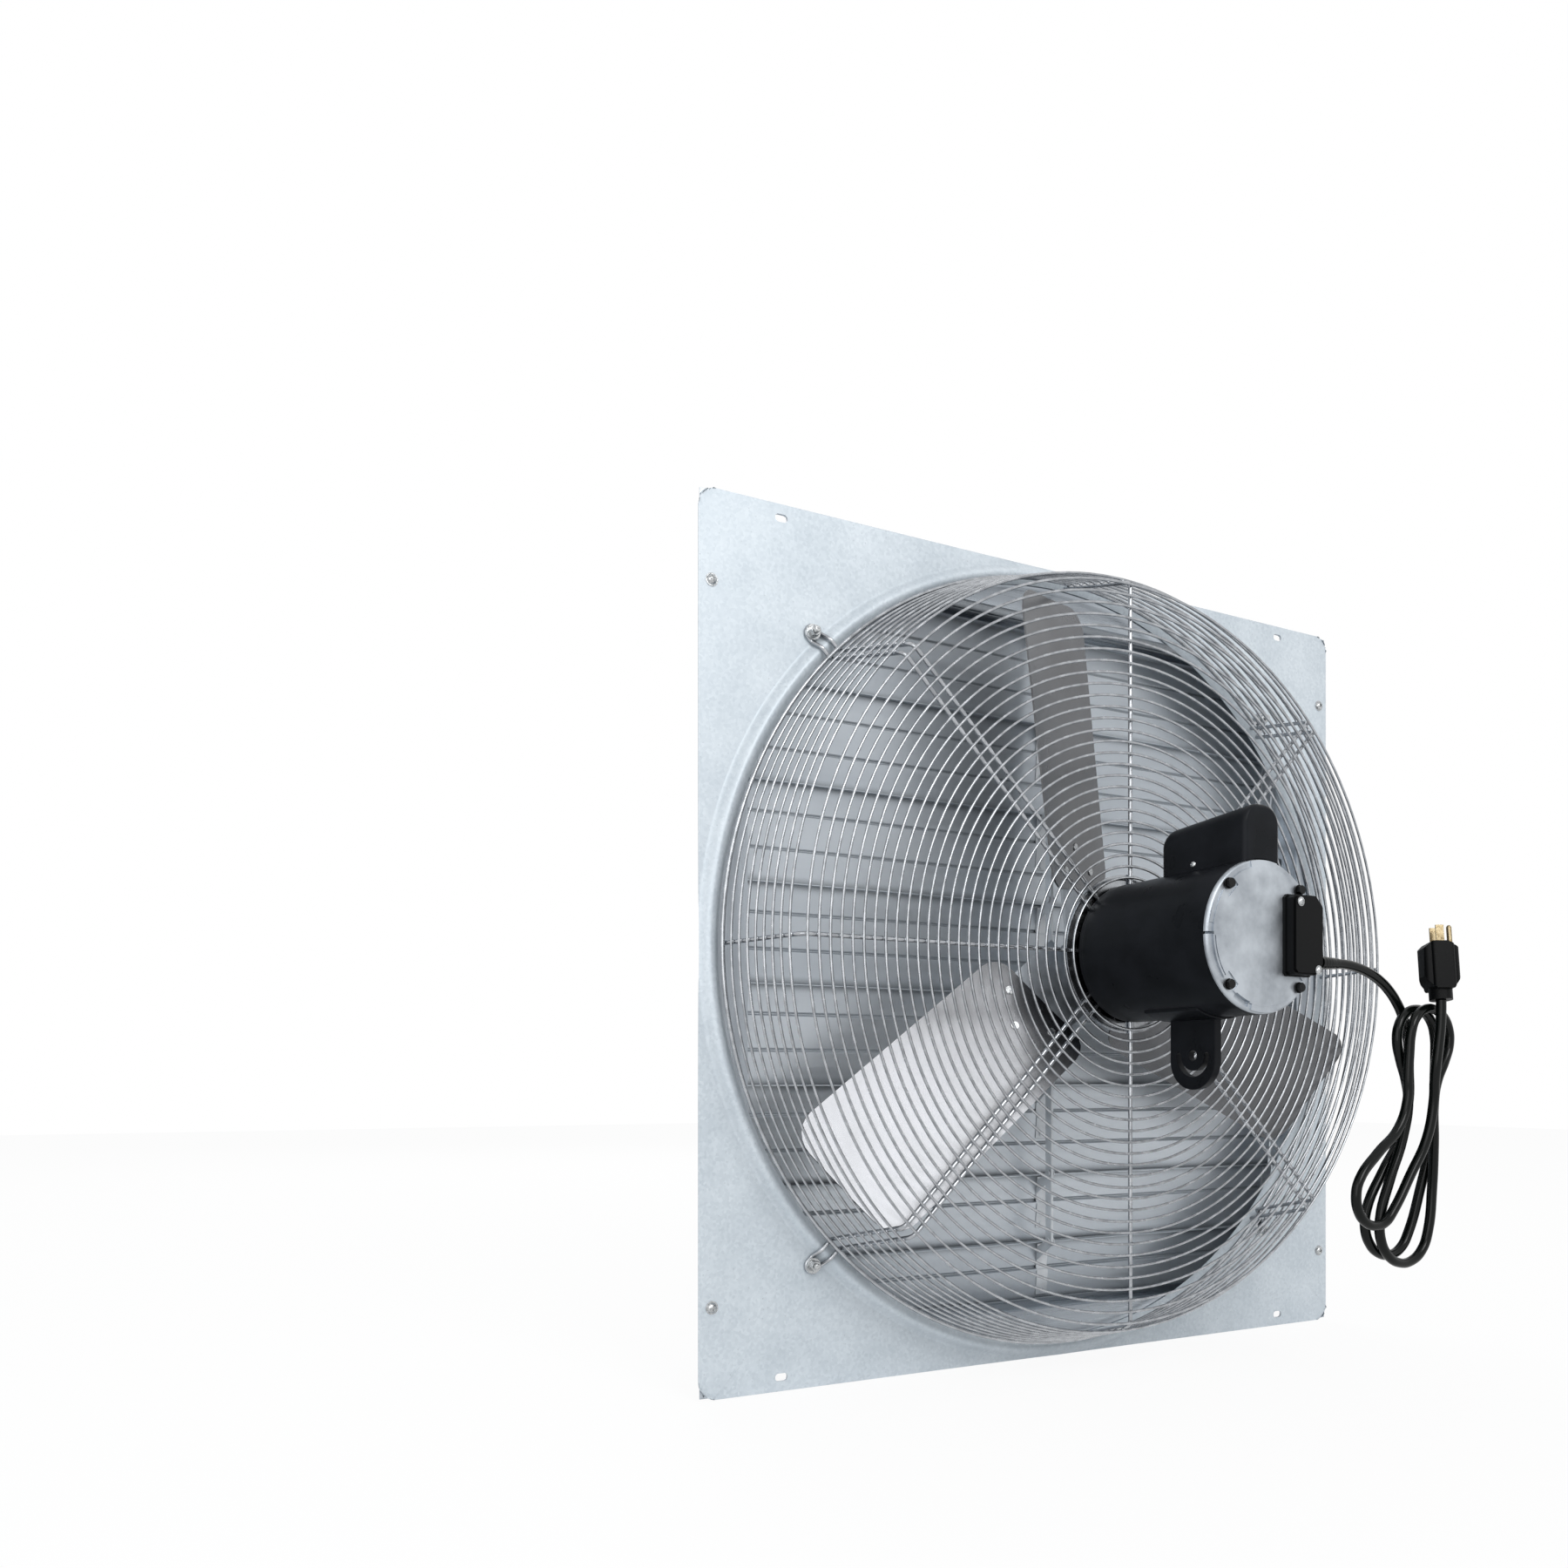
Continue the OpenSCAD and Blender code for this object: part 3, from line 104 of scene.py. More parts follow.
bpy.context.scene.view_settings.view_transform = "Standard"
world = bpy.context.scene.world or bpy.data.worlds.new("studio")
bpy.context.scene.world = world
world.use_nodes = True
tree = world.node_tree
tree.nodes.clear()
soft = add(tree, "ShaderNodeBackground", {"Color": (1, 1, 1, 1), "Strength": 0.66})
white = add(tree, "ShaderNodeBackground", {"Color": (1, 1, 1, 1), "Strength": 1})
both = add(tree, "ShaderNodeMixShader",
           links={0: seen_in_studio(tree), 1: soft.outputs[0], 2: white.outputs[0]})
add(tree, "ShaderNodeOutputWorld", links={"Surface": both.outputs[0]})

floor_below = 0.001
bpy.ops.mesh.primitive_plane_add(size=14, location=(0, 0, cad_low.z - floor_below))
floor = bpy.context.object
floor.name = "studio_floor"
bpy.ops.object.transform_apply(location=True)
floor_finish, tree, shader = new_finish("matt_white_floor", "#f4f5f6", 0, 0.9)
seen = add(tree, "ShaderNodeMath", {1: 0.92}, {0: seen_in_studio(tree)}, operation="MULTIPLY")
glow = add(tree, "ShaderNodeEmission", {"Color": (1, 1, 1, 1), "Strength": 1})
both = add(tree, "ShaderNodeMixShader", links={0: seen.outputs[0], 1: shader.outputs[0], 2: glow.outputs[0]})
tree.links.new(both.outputs[0], tree.nodes["Material Output"].inputs["Surface"])
floor.data.materials.append(floor_finish)

for name, place, size, power in (
    ("key_lamp", (-2.3, -2.2, 0.8), 2.2, 26),
    ("front_lamp", (-0.2, -2.6, 1.65), 1.2, 31),
    ("back_lamp", (0.6, 3.2, 2.2), 2.6, 34),
):
    bpy.ops.object.light_add(type="AREA", location=place)
    lamp = bpy.context.object
    lamp.name = name
    lamp.data.size = size
    lamp.data.energy = power
    lamp.rotation_euler = (Vector((0, 0, 0)) - Vector(place)).to_track_quat("-Z", "Y").to_euler()


# Supply cord: a round black three-core cord of 9.5 mm, from the terminal cover to a hank under the plug.
# Its route is a listed lead, then five half loops that are drawn in at the waist.
# The jacket is extruded rubber: near black, with narrow highlights and a fine grain of about 1 mm.
mm = 0.001
cord_d = 9.5
lead_from = Vector((90, -297.8, -22))
lead_way = [
    (0, 0, 0), (10, 0, 0), (28, 0, -2), (46, 0.4, -6.5), (63, 1.2, -13), (79, 2.2, -22.5),
    (92.5, 3.2, -34.5), (103, 4, -48.5), (110, 4.6, -64), (113, 4.8, -80), (113, 4.8, -90),
]
# Each half loop has its centre, across and up from the waist, its radius, its lean in degrees and its way.
half_loops = [
    (-52, -121, 34, -23, -1), (-8, 60, 29, -6, 1), (-26, -125, 37, -12, -1),
    (14, 60, 29.5, 10, 1), (-66, -92, 29, -33, -1),
]
waist_half, hank_step, hank_shift, hank_drop = 20, 10.8, 16, 40
run_steps, bend_steps, last_steps = 3, 6, 5
hank_end = Vector((31, 87.5))


# A smooth run from a to b, which leaves along way_a and arrives along way_b.
def run_point(a, way_a, b, way_b, t):
    m = (b - a).length
    return ((2 * t**3 - 3 * t**2 + 1) * a + (t**3 - 2 * t**2 + t) * m * way_a
            + (3 * t**2 - 2 * t**3) * b + (t**3 - t**2) * m * way_b)


route = [lead_from + Vector(p) for p in lead_way]
route.append(route[-1] - Vector((0, 0, cord_d)))
waist = route[-2] + Vector((waist_half, 0, -hank_drop))
turns = []
for count, (across, up, radius, lean, way) in enumerate(half_loops):
    low = count // 2
    axis = Vector((math.sin(math.radians(lean)), way * math.cos(math.radians(lean))))
    side = Vector((-axis.y, axis.x))
    centre = Vector((across, up))
    straight = Vector((0, way))
    start = Vector((way * waist_half, 0))
    for k in range(run_steps):
        t = k / run_steps
        rise = low + (0.5 + 0.5 * min(1, t * 1.5) if way > 0 else 0)
        turns.append((run_point(start, straight, centre - radius * side, axis, t), rise))
    for k in range(bend_steps):
        t = math.pi * k / bend_steps
        on_bend = centre - radius * math.cos(t) * side + radius * math.sin(t) * axis
        turns.append((on_bend, low + (1 if way > 0 else 0)))
    for k in range(run_steps):
        t = k / run_steps
        rise = low + (1 if way > 0 else 0.5 * max(0, t * 1.5 - 0.5))
        turns.append((run_point(centre + radius * side, -axis, -start, -straight, t), rise))
top_layer = len(half_loops) // 2
upwards = Vector((0, 1))
for k in range(last_steps + 1):
    t = k / last_steps
    place = run_point(Vector((waist_half, 0)), upwards, hank_end, upwards, t)
    turns.append((place, top_layer + 0.5 + 0.5 * min(1, t * 2)))
turns.append((hank_end + Vector((0, cord_d)), top_layer + 1))
route += [waist + Vector((p.x - hank_shift * rise, -hank_step * rise, p.y)) for p, rise in turns]

cord_shape = bpy.data.curves.new("supply_cord", "CURVE")
cord_shape.dimensions = "3D"
cord_shape.bevel_depth = cord_d / 2 * mm
cord_shape.bevel_resolution = 5
cord_shape.resolution_u = 6
cord_shape.use_fill_caps = True
line = cord_shape.splines.new("BEZIER")
line.bezier_points.add(len(route) - 1)
for point, place in zip(line.bezier_points, route):
    point.co = place * mm
    point.handle_left_type = point.handle_right_type = "AUTO"
supply_cord = bpy.data.objects.new("supply_cord", cord_shape)
bpy.context.scene.collection.objects.link(supply_cord)

black_rubber, tree, shader = new_finish("extruded_black_rubber", "#050807", 0, 0.17)
shader.inputs["Specular IOR Level"].default_value = 0.2
place = add(tree, "ShaderNodeTexCoord")
grain = add(tree, "ShaderNodeTexNoise", {"Scale": 900, "Detail": 3}, {"Vector": place.outputs["Object"]})
bump = add(tree, "ShaderNodeBump", {"Strength": 0.08, "Distance": 0.2 * mm}, {"Height": grain.outputs["Fac"]})
tree.links.new(bump.outputs["Normal"], shader.inputs["Normal"])
cord_shape.materials.append(black_rubber)
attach(supply_cord, "frame")
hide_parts("cord_lead", "cord_hank")


# Wall frame: four bars of one extruded aluminium section, mitred at the corners of the flange and the box.
# Two fine grooves run along the flange. Angle clips join the corners inside the box, a ledge sheds rain at
# the top, and a strip stops the lowest louver. All are bare metal in mill finish.
def only(piece):
    bpy.ops.object.select_all(action="DESELECT")
    piece.select_set(True)
    bpy.context.view_layer.objects.active = piece


def change(piece, kind, **settings):
    only(piece)
    modifier = piece.modifiers.new(kind.lower(), kind)
    for key, value in settings.items():
        setattr(modifier, key, value)
    bpy.ops.object.modifier_apply(modifier=modifier.name)


def smooth(piece, angle=32):
    only(piece)
    bpy.ops.object.shade_smooth_by_angle(angle=math.radians(angle))
    change(piece, "WEIGHTED_NORMAL", keep_sharp=True)


# A finished piece gets its name and finish, goes to its body and hides the nodes that it stands for.
def hand_over(piece, name, body, slot, finish, *nodes):
    piece.name = name
    piece.data.name = name
    piece.data.materials.clear()
    piece.data.materials.append(finish)
    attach(piece, body)
    if nodes:
        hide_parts(*nodes)


# A dressed piece is a copy of a node's mesh, merged, cleaned of flat seams and given its small edge radii.
def dressed(name, node, body, slot, finish, radius=0.3, steps=1, angle=32, shape=None):
    piece = bpy.data.objects.new(name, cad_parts[node].data.copy())
    bpy.context.scene.collection.objects.link(piece)
    only(piece)
    bpy.ops.object.mode_set(mode="EDIT")
    bpy.ops.mesh.select_all(action="SELECT")
    bpy.ops.mesh.remove_doubles(threshold=0.005 * mm)
    bpy.ops.mesh.dissolve_limited(angle_limit=math.radians(0.4))
    bpy.ops.mesh.normals_make_consistent(inside=False)
    bpy.ops.object.mode_set(mode="OBJECT")
    if shape:
        shape(piece)
    change(piece, "BEVEL", width=radius * mm, segments=steps, limit_method="ANGLE",
           angle_limit=math.radians(40))
    smooth(piece, angle)
    hand_over(piece, name, body, slot, finish, node)
    return piece


# A pattern's fineness is in waves per metre, the same all ways or along X, Y and Z.
def pattern(tree, per_metre, detail=None, kind="ShaderNodeTexNoise"):
    spacing = per_metre if isinstance(per_metre, tuple) else (per_metre,) * 3
    place = add(tree, "ShaderNodeTexCoord")
    scaled = add(tree, "ShaderNodeMapping", {"Scale": spacing}, {"Vector": place.outputs["Object"]})
    values = {"Scale": 1} if detail is None else {"Scale": 1, "Detail": detail}
    return add(tree, kind, values, {"Vector": scaled.outputs[0]})


# A worked surface varies in shine, tone and height, each by its own pattern or else by that of the shine.
# Its relief is a depth in millimetres and a strength.
def worked_finish(name, colours, metallic, rough, shine, tint=None, grain=None, relief=None,
                  spread=(0.35, 0.65), tone_spread=None):
    finish, tree, shader = new_finish(name, colours[-1], metallic, rough[0])
    shine = pattern(tree, *shine)
    reach = {"From Min": spread[0], "From Max": spread[1], "To Min": rough[0], "To Max": rough[1]}
    polish = add(tree, "ShaderNodeMapRange", reach, {"Value": shine.outputs["Fac"]})
    tree.links.new(polish.outputs[0], shader.inputs["Roughness"])
    if len(colours) == 2:
        tint = pattern(tree, *tint) if tint else shine
        low, high = tone_spread or spread
        share = add(tree, "ShaderNodeMapRange", {"From Min": low, "From Max": high},
                    {"Value": tint.outputs["Fac"]})
        tone = add(tree, "ShaderNodeMix", {6: linear(colours[0]), 7: linear(colours[1])},
                   {0: share.outputs[0]}, data_type="RGBA")
        tree.links.new(tone.outputs[2], shader.inputs["Base Color"])
    if relief:
        grain = pattern(tree, *grain) if grain else shine
        bump = add(tree, "ShaderNodeBump", {"Strength": relief[1], "Distance": relief[0] * mm},
                   {"Height": grain.outputs["Fac"]})
        tree.links.new(bump.outputs[0], shader.inputs["Normal"])
    return finish, tree, shader


# Mill finish: fine drawn lines about 1.5 mm apart and pale streaks of about 17 mm run along each bar.
mill_tones, mill_relief = ("#a0a6ad", "#b8bfc6"), (0.008, 0.3)
mill_across = worked_finish("mill_aluminium_across", mill_tones, 1, (0.24, 0.4),
                            ((5, 650, 650), 4), ((1.5, 60, 60), 3), relief=mill_relief)[0]
mill_upright = worked_finish("mill_aluminium_upright", mill_tones, 1, (0.24, 0.4),
                             ((650, 650, 5), 4), ((60, 60, 1.5), 3), relief=mill_relief)[0]
for side in ("top", "bottom", "left", "right"):
    finish = mill_across if side in ("top", "bottom") else mill_upright
    dressed(f"{side}_frame_bar", f"frame_{side}", "frame", "mill_aluminium", finish, 0.25)
dressed("corner_angle_clips", "corner_clips", "frame", "mill_aluminium", mill_across, 0.2)
dressed("top_rain_ledge", "top_ledge", "frame", "mill_aluminium", mill_across, 0.2)
dressed("bottom_stop_strip", "bottom_ledge", "frame", "mill_aluminium", mill_across, 0.2)


# Inlet panel: 1.2 mm galvanised steel sheet, pressed with a rolled bead round the air opening.
# The zinc has a fine cool spangle of about 3 mm, scattered dark specks 6 mm apart, and slow changes of tone
# over 70 mm. Shade is painted into its colour: it is darker in the hollow along the bead.
galvanised, tree, shader = new_finish("galvanised_sheet", "#c5cdd5", 0.2, 0.42)
spangle = pattern(tree, 330, kind="ShaderNodeTexVoronoi")
clouds = pattern(tree, 14, 5)
skin = pattern(tree, 420, 4)
specks = pattern(tree, 160, kind="ShaderNodeTexVoronoi")
slow = add(tree, "ShaderNodeMapRange", {"From Min": 0.35, "From Max": 0.65}, {"Value": clouds.outputs["Fac"]})
mottle = add(tree, "ShaderNodeMath", {1: 0.6}, {0: spangle.outputs["Color"]}, operation="MULTIPLY")
mottle = add(tree, "ShaderNodeMath", {1: 0.4}, {0: slow.outputs[0], 2: mottle.outputs[0]},
             operation="MULTIPLY_ADD")
zinc = add(tree, "ShaderNodeMix", {6: linear("#b4bec6"), 7: linear("#d0d8de")}, {0: mottle.outputs[0]},
           data_type="RGBA")
dots = add(tree, "ShaderNodeMapRange", {"From Min": 0.02, "From Max": 0.16, "To Min": 0.55, "To Max": 0},
           {"Value": specks.outputs["Distance"]})
thin = add(tree, "ShaderNodeMapRange", {"From Min": 0.4, "From Max": 0.6}, {"Value": clouds.outputs["Fac"]})
dots = add(tree, "ShaderNodeMath", links={0: dots.outputs[0], 1: thin.outputs[0]}, operation="MULTIPLY")
zinc = add(tree, "ShaderNodeMix", {7: linear("#8a939b")}, {0: dots.outputs[0], 6: zinc.outputs[2]},
           data_type="RGBA")
# Painted shade: where the panel's own bead closes round it, the colour darkens towards #717a83.
hollow = add(tree, "ShaderNodeAmbientOcclusion", {"Distance": 22 * mm}, samples=8, only_local=True)
open_air = add(tree, "ShaderNodeMapRange", {"From Min": 0.5, "From Max": 0.97},
               {"Value": hollow.outputs["AO"]})
zinc = add(tree, "ShaderNodeMix", {6: linear("#717a83")}, {0: open_air.outputs[0], 7: zinc.outputs[2]},
           data_type="RGBA")
tree.links.new(zinc.outputs[2], shader.inputs["Base Color"])
polish = add(tree, "ShaderNodeMapRange", {"From Min": 0.2, "From Max": 0.8, "To Min": 0.4, "To Max": 0.54},
             {"Value": mottle.outputs[0]})
tree.links.new(polish.outputs[0], shader.inputs["Roughness"])
bump = add(tree, "ShaderNodeBump", {"Strength": 0.6, "Distance": 0.05 * mm}, {"Height": skin.outputs["Fac"]})
tree.links.new(bump.outputs[0], shader.inputs["Normal"])

panel_half, panel_face, panel_round, sheet = 446.5, -2.8, 22, 1.2
throat_r, crest_r, foot_r, bead_high, foot_high = 426, 437, 449, 8, 0.5
slot_across, slot_edge, uncut_r = 356, 432.5, 660
bead = [(throat_r, 0)]
bead += [(throat_r + (crest_r - throat_r) * k / 10, bead_high * math.sin(math.pi / 2 * k / 10))
         for k in range(1, 11)]
bead += [(crest_r + (foot_r - crest_r) * k / 10,
          foot_high + (bead_high - foot_high) * (1 + math.cos(math.pi * k / 10)) / 2) for k in range(1, 11)]
bead += [(foot_r + 3 * k, foot_high * (1 - k / 8) ** 2) for k in range(1, 9)]
bead += [(foot_r + 60, 0), (uncut_r, 0)]
bpy.ops.object.select_all(action="DESELECT")
bpy.ops.mesh.primitive_circle_add(vertices=288, radius=throat_r * mm, location=(0, panel_face * mm, 0),
                                  rotation=(math.pi / 2, 0, 0))
panel = bpy.context.object
bpy.ops.object.transform_apply(location=True, rotation=True)
bpy.ops.object.mode_set(mode="EDIT")
bpy.ops.mesh.select_all(action="SELECT")
for (r0, h0), (r1, h1) in zip(bead, bead[1:]):
    bpy.ops.mesh.extrude_edges_move(TRANSFORM_OT_translate={"value": (0, (h0 - h1) * mm, 0)})
    bpy.ops.transform.resize(value=(r1 / r0, 1, r1 / r0), center_override=(0, 0, 0))
for way in ((1, 0, 0), (-1, 0, 0), (0, 0, 1), (0, 0, -1)):
    bpy.ops.mesh.select_all(action="SELECT")
    bpy.ops.mesh.bisect(plane_co=Vector(way) * panel_half * mm, plane_no=way, clear_outer=True)
bpy.ops.mesh.select_all(action="SELECT")
bpy.ops.mesh.normals_make_consistent(inside=False)
if sum(face.normal.y for face in bmesh.from_edit_mesh(panel.data).faces) > 0:
    bpy.ops.mesh.flip_normals()
bpy.ops.mesh.select_all(action="DESELECT")
bpy.ops.mesh.select_mode(type="VERT")
shape = bmesh.from_edit_mesh(panel.data)
for point in shape.verts:
    point.select_set(min(abs(point.co.x), abs(point.co.z)) > (panel_half - 0.01) * mm)
bmesh.update_edit_mesh(panel.data)
bpy.ops.mesh.bevel(offset=panel_round * mm, segments=10, affect="VERTICES", profile=0.5)
bpy.ops.object.mode_set(mode="OBJECT")
change(panel, "SOLIDIFY", thickness=sheet * mm, offset=-1)


def slot_cutter(length, height, place, upright=False):
    bpy.ops.object.select_all(action="DESELECT")
    bpy.ops.mesh.primitive_cylinder_add(vertices=32, radius=height / 2 * mm, depth=12 * mm,
                                        rotation=(math.pi / 2, 0, 0))
    cutter = bpy.context.object
    bpy.ops.object.transform_apply(rotation=True)
    reach = (length - height) / 2 * mm
    for point in cutter.data.vertices:
        point.co.x += reach if point.co.x > 0 else -reach
    if upright:
        cutter.data.transform(Matrix.Rotation(math.pi / 2, 4, "Y"))
    cutter.data.transform(Matrix.Translation(Vector(place) * mm))
    return cutter


def cut(piece, cutters):
    for cutter in cutters:
        change(piece, "BOOLEAN", object=cutter, operation="DIFFERENCE", solver="EXACT")
        bpy.data.objects.remove(cutter)


corners = [(x, z) for x in (-1, 1) for z in (-1, 1)]
cut(panel, [slot_cutter(14, 8, (x * slot_across, -2, z * slot_edge)) for x, z in corners])
cut(panel, [slot_cutter(12, 5.6, (x * slot_edge, -2, z * slot_across), True) for x, z in corners])
change(panel, "BEVEL", width=0.25 * mm, segments=1, limit_method="ANGLE", angle_limit=math.radians(50))
smooth(panel, 28)
hand_over(panel, "inlet_panel_sheet", "frame", "galvanised_steel", galvanised, "inlet_panel")


# Panel screws: pan heads with a cross recess, on thin washers, that hold the panel to the frame's flange.
# They are zinc-plated steel: bright, a little warm, with an uneven shine in patches of 2 to 3 mm.
def join(pieces):
    bpy.ops.object.select_all(action="DESELECT")
    for piece in pieces:
        piece.select_set(True)
    bpy.context.view_layer.objects.active = pieces[0]
    bpy.ops.object.join()
    return pieces[0]


def cylinder(radius, low, high, sides=48, round_by=0.2, steps=2):
    bpy.ops.object.select_all(action="DESELECT")
    bpy.ops.mesh.primitive_cylinder_add(vertices=sides, radius=radius * mm, depth=(high - low) * mm,
                                        location=(0, 0, (low + high) / 2 * mm))
    piece = bpy.context.object
    bpy.ops.object.transform_apply(location=True)
    if round_by:
        change(piece, "BEVEL", width=round_by * mm, segments=steps, limit_method="ANGLE",
               angle_limit=math.radians(61))
    return piece


# A domed head is cut from a ball, flattened to its height, and gets its cross from two crossed blades.
def cross_head(radius, height, low=0):
    bpy.ops.object.select_all(action="DESELECT")
    bpy.ops.mesh.primitive_uv_sphere_add(segments=40, ring_count=24, radius=radius * mm)
    head = bpy.context.object
    bpy.ops.object.mode_set(mode="EDIT")
    bpy.ops.mesh.select_all(action="SELECT")
    bpy.ops.mesh.bisect(plane_co=(0, 0, radius * 0.25 * mm), plane_no=(0, 0, 1), clear_inner=True,
                        use_fill=True)
    bpy.ops.mesh.select_all(action="SELECT")
    bpy.ops.transform.translate(value=(0, 0, -radius * 0.25 * mm))
    bpy.ops.transform.resize(value=(1, 1, height / (radius * 0.75)), center_override=(0, 0, 0))
    bpy.ops.transform.translate(value=(0, 0, low * mm))
    bpy.ops.object.mode_set(mode="OBJECT")
    for turn in (0, math.pi / 2):
        bpy.ops.object.select_all(action="DESELECT")
        bpy.ops.mesh.primitive_cube_add(size=1, location=(0, 0, (low + height) * mm))
        blade = bpy.context.object
        blade.scale = (radius * 1.05 * mm, radius * 0.22 * mm, height * 1.1 * mm)
        blade.rotation_euler = (0, 0, turn + 0.4)
        bpy.ops.object.transform_apply(location=True, rotation=True, scale=True)
        cut(head, [blade])
    return head


# A model is placed with its foot at a point, facing a direction, and copied to all its places in one mesh.
def facing(direction, x, y, z, turn=0):
    aim = Vector(direction).to_track_quat("Z", "Y").to_matrix().to_4x4()
    return Matrix.Translation(Vector((x, y, z)) * mm) @ aim @ Matrix.Rotation(turn, 4, "Z")


def repeat(model, places):
    joined = bmesh.new()
    for place in places:
        part = model.data.copy()
        part.transform(place)
        joined.from_mesh(part)
        bpy.data.meshes.remove(part)
    joined.to_mesh(model.data)
    joined.free()


room = (0, -1, 0)
zinc_screw = worked_finish("zinc_plated_screw", ("#a3a6a8", "#c8cacb"), 1, (0.16, 0.36), (420, 3))[0]
screws = join([cross_head(5.4, 3.4, 0.8), cylinder(6.5, 0, 0.8, 48, 0.15), cylinder(2.4, -2.7, 0.8, 24, 0)])
repeat(screws, [facing(room, x * slot_edge, panel_face, z * slot_across, x + z) for x, z in corners])
smooth(screws, 40)
hand_over(screws, "panel_pan_screws", "frame", "zinc_screw", zinc_screw, "panel_screws")


# Louvers: 1 mm aluminium sheet rolled with stiffening ribs, a top flange and a turned-in bottom lip.
# Each hangs on two end brackets and is worked by a middle one; domed rivets hold the brackets. The two short
# louvers at the bottom have one rib. The sheet has streaks of about 4 mm, and painted shade darkens its
# corners.
def pick_edges(piece, test):
    bpy.ops.mesh.select_mode(type="EDGE")
    bpy.ops.mesh.select_all(action="DESELECT")
    shape = bmesh.from_edit_mesh(piece.data)
    for edge in shape.edges:
        edge.select_set(test(edge, (edge.verts[0].co + edge.verts[1].co) / 2 / mm))
    shape.select_flush_mode()
    bmesh.update_edit_mesh(piece.data)


louver_metal, tree, shader = worked_finish(
    "rolled_louver_aluminium", ("#bec5cc", "#d0d6dc"), 0.75, (0.32, 0.44),
    ((3, 260, 260), 4), ((0.5, 8, 8), 3), relief=mill_relief)
unshaded_tone = shader.inputs["Base Color"].links[0].from_socket
# Painted shade: the colour darkens towards #2c3035 in corners, folds and close to other parts.
corner = add(tree, "ShaderNodeAmbientOcclusion", {"Distance": 14 * mm}, samples=8)
open_air = add(tree, "ShaderNodeMapRange", {"From Min": 0.28, "From Max": 0.86},
               {"Value": corner.outputs["AO"]})
painted_shade_tone = add(tree, "ShaderNodeMix", {6: linear("#2c3035")}, {0: open_air.outputs[0], 7: unshaded_tone},
            data_type="RGBA")
tree.links.new(painted_shade_tone.outputs[2], shader.inputs["Base Color"])

# The brackets are stamped from paler sheet, with a shine in patches of about 17 mm.
bracket_metal = worked_finish("stamped_bracket_aluminium", ("#c4c9ce", "#d9dde1"), 0.5, (0.3, 0.42),
                              (60, 4), (20, 3), relief=mill_relief)[0]

# A profile gives each fold's distance outwards from the face and its height above the pivot.
pivot_y, louver_half, louver_t, louver_top, face_out, top_flange = 38.6, 400.4, 1.0, 25, 8, 9
short_louver_1, short_louver_2, long_pitch = -269.4, -348.4, 106
rib = [(11.2, -3.5), (12.6, -5.4), (12.4, -7.2), (8.8, -9.0), (9.1, -10.8)]
low_rib = [(y + 1, z - 38) for y, z in rib]
long_profile = [(face_out, louver_top)] + rib + low_rib + [(13, -81.5), (10.6, -83.5)]
louvers = [(366.6 - long_pitch * k, long_profile) for k in range(6)]
louvers.append((short_louver_1, [(face_out, louver_top)] + rib + [(13.4, -54.5), (11, -56.5)]))
louvers.append((short_louver_2, [(face_out, louver_top)] + rib + [(12.5, -44.6), (10.1, -46.6)]))
for k, (height, profile) in enumerate(louvers, 1):
    bpy.ops.object.select_all(action="DESELECT")
    flange_y = pivot_y + face_out - top_flange / 2
    bpy.ops.mesh.primitive_plane_add(size=1, location=(0, flange_y * mm, (height + louver_top) * mm))
    louver = bpy.context.object
    louver.scale = (2 * louver_half * mm, top_flange * mm, 1)
    bpy.ops.object.transform_apply(location=True, scale=True)
    bpy.ops.object.mode_set(mode="EDIT")
    pick_edges(louver, lambda e, m: m.y > pivot_y + face_out - 0.1)
    for (y0, z0), (y1, z1) in zip(profile, profile[1:]):
        bpy.ops.mesh.extrude_edges_move(TRANSFORM_OT_translate={"value": (0, (y1 - y0) * mm, (z1 - z0) * mm)})
    bpy.ops.mesh.select_all(action="SELECT")
    bpy.ops.mesh.normals_make_consistent(inside=False)
    bpy.ops.object.mode_set(mode="OBJECT")
    if sum(face.normal.y * face.area for face in louver.data.polygons) < 0:
        louver.data.flip_normals()
    change(louver, "SOLIDIFY", thickness=louver_t * mm, offset=-1, use_even_offset=True)
    change(louver, "BEVEL", width=0.35 * mm, segments=2, limit_method="ANGLE", angle_limit=math.radians(12))
    smooth(louver, 20)
    hand_over(louver, f"louver_blade_{k}", f"shutter_{k}", "mill_aluminium", louver_metal, f"louver_{k}")
    dressed(f"louver_brackets_{k}", f"brackets_{k}", f"shutter_{k}", "mill_aluminium", bracket_metal,
            0.15, 1, 35)
dressed("louver_tie_bar", "tie_bar", "tie_bar", "mill_aluminium", bracket_metal, 0.3, 2)
dressed("louver_pivot_rivets", "louver_pivots", "frame", "zinc_screw", zinc_screw, 0.1, 1, 35)


# Guard: 27 front rings and 9 side rings of steel wire, spot-welded on 4 single and 4 hairpin spokes.
# It is zinc-plated after welding: bright, in slow patches of about 11 mm, with a fine grain of 1 mm.
zinc_wire = worked_finish("zinc_plated_wire", ("#999ca0", "#b8bbbf"), 1, (0.13, 0.3),
                          (90, 4), grain=(900, 3), relief=(0.006, 0.12))[0]
spoke_r, wire_r, seat = 2.2, 1.4, 0.05
corner_r, base_r, front_y, over_y = 393, 424.5, -117, -13.8
first_ring, ring_pitch = 80, 11.9
side_slope = (base_r - corner_r) / (over_y - front_y)
slant = math.hypot(1, side_slope)
base_y = over_y - 2 * spoke_r - seat
ring_y = front_y - spoke_r - wire_r - seat


# The guard's side is a shallow cone, and this is its radius at y.
def side_r(y):
    return corner_r + side_slope * (y - front_y)


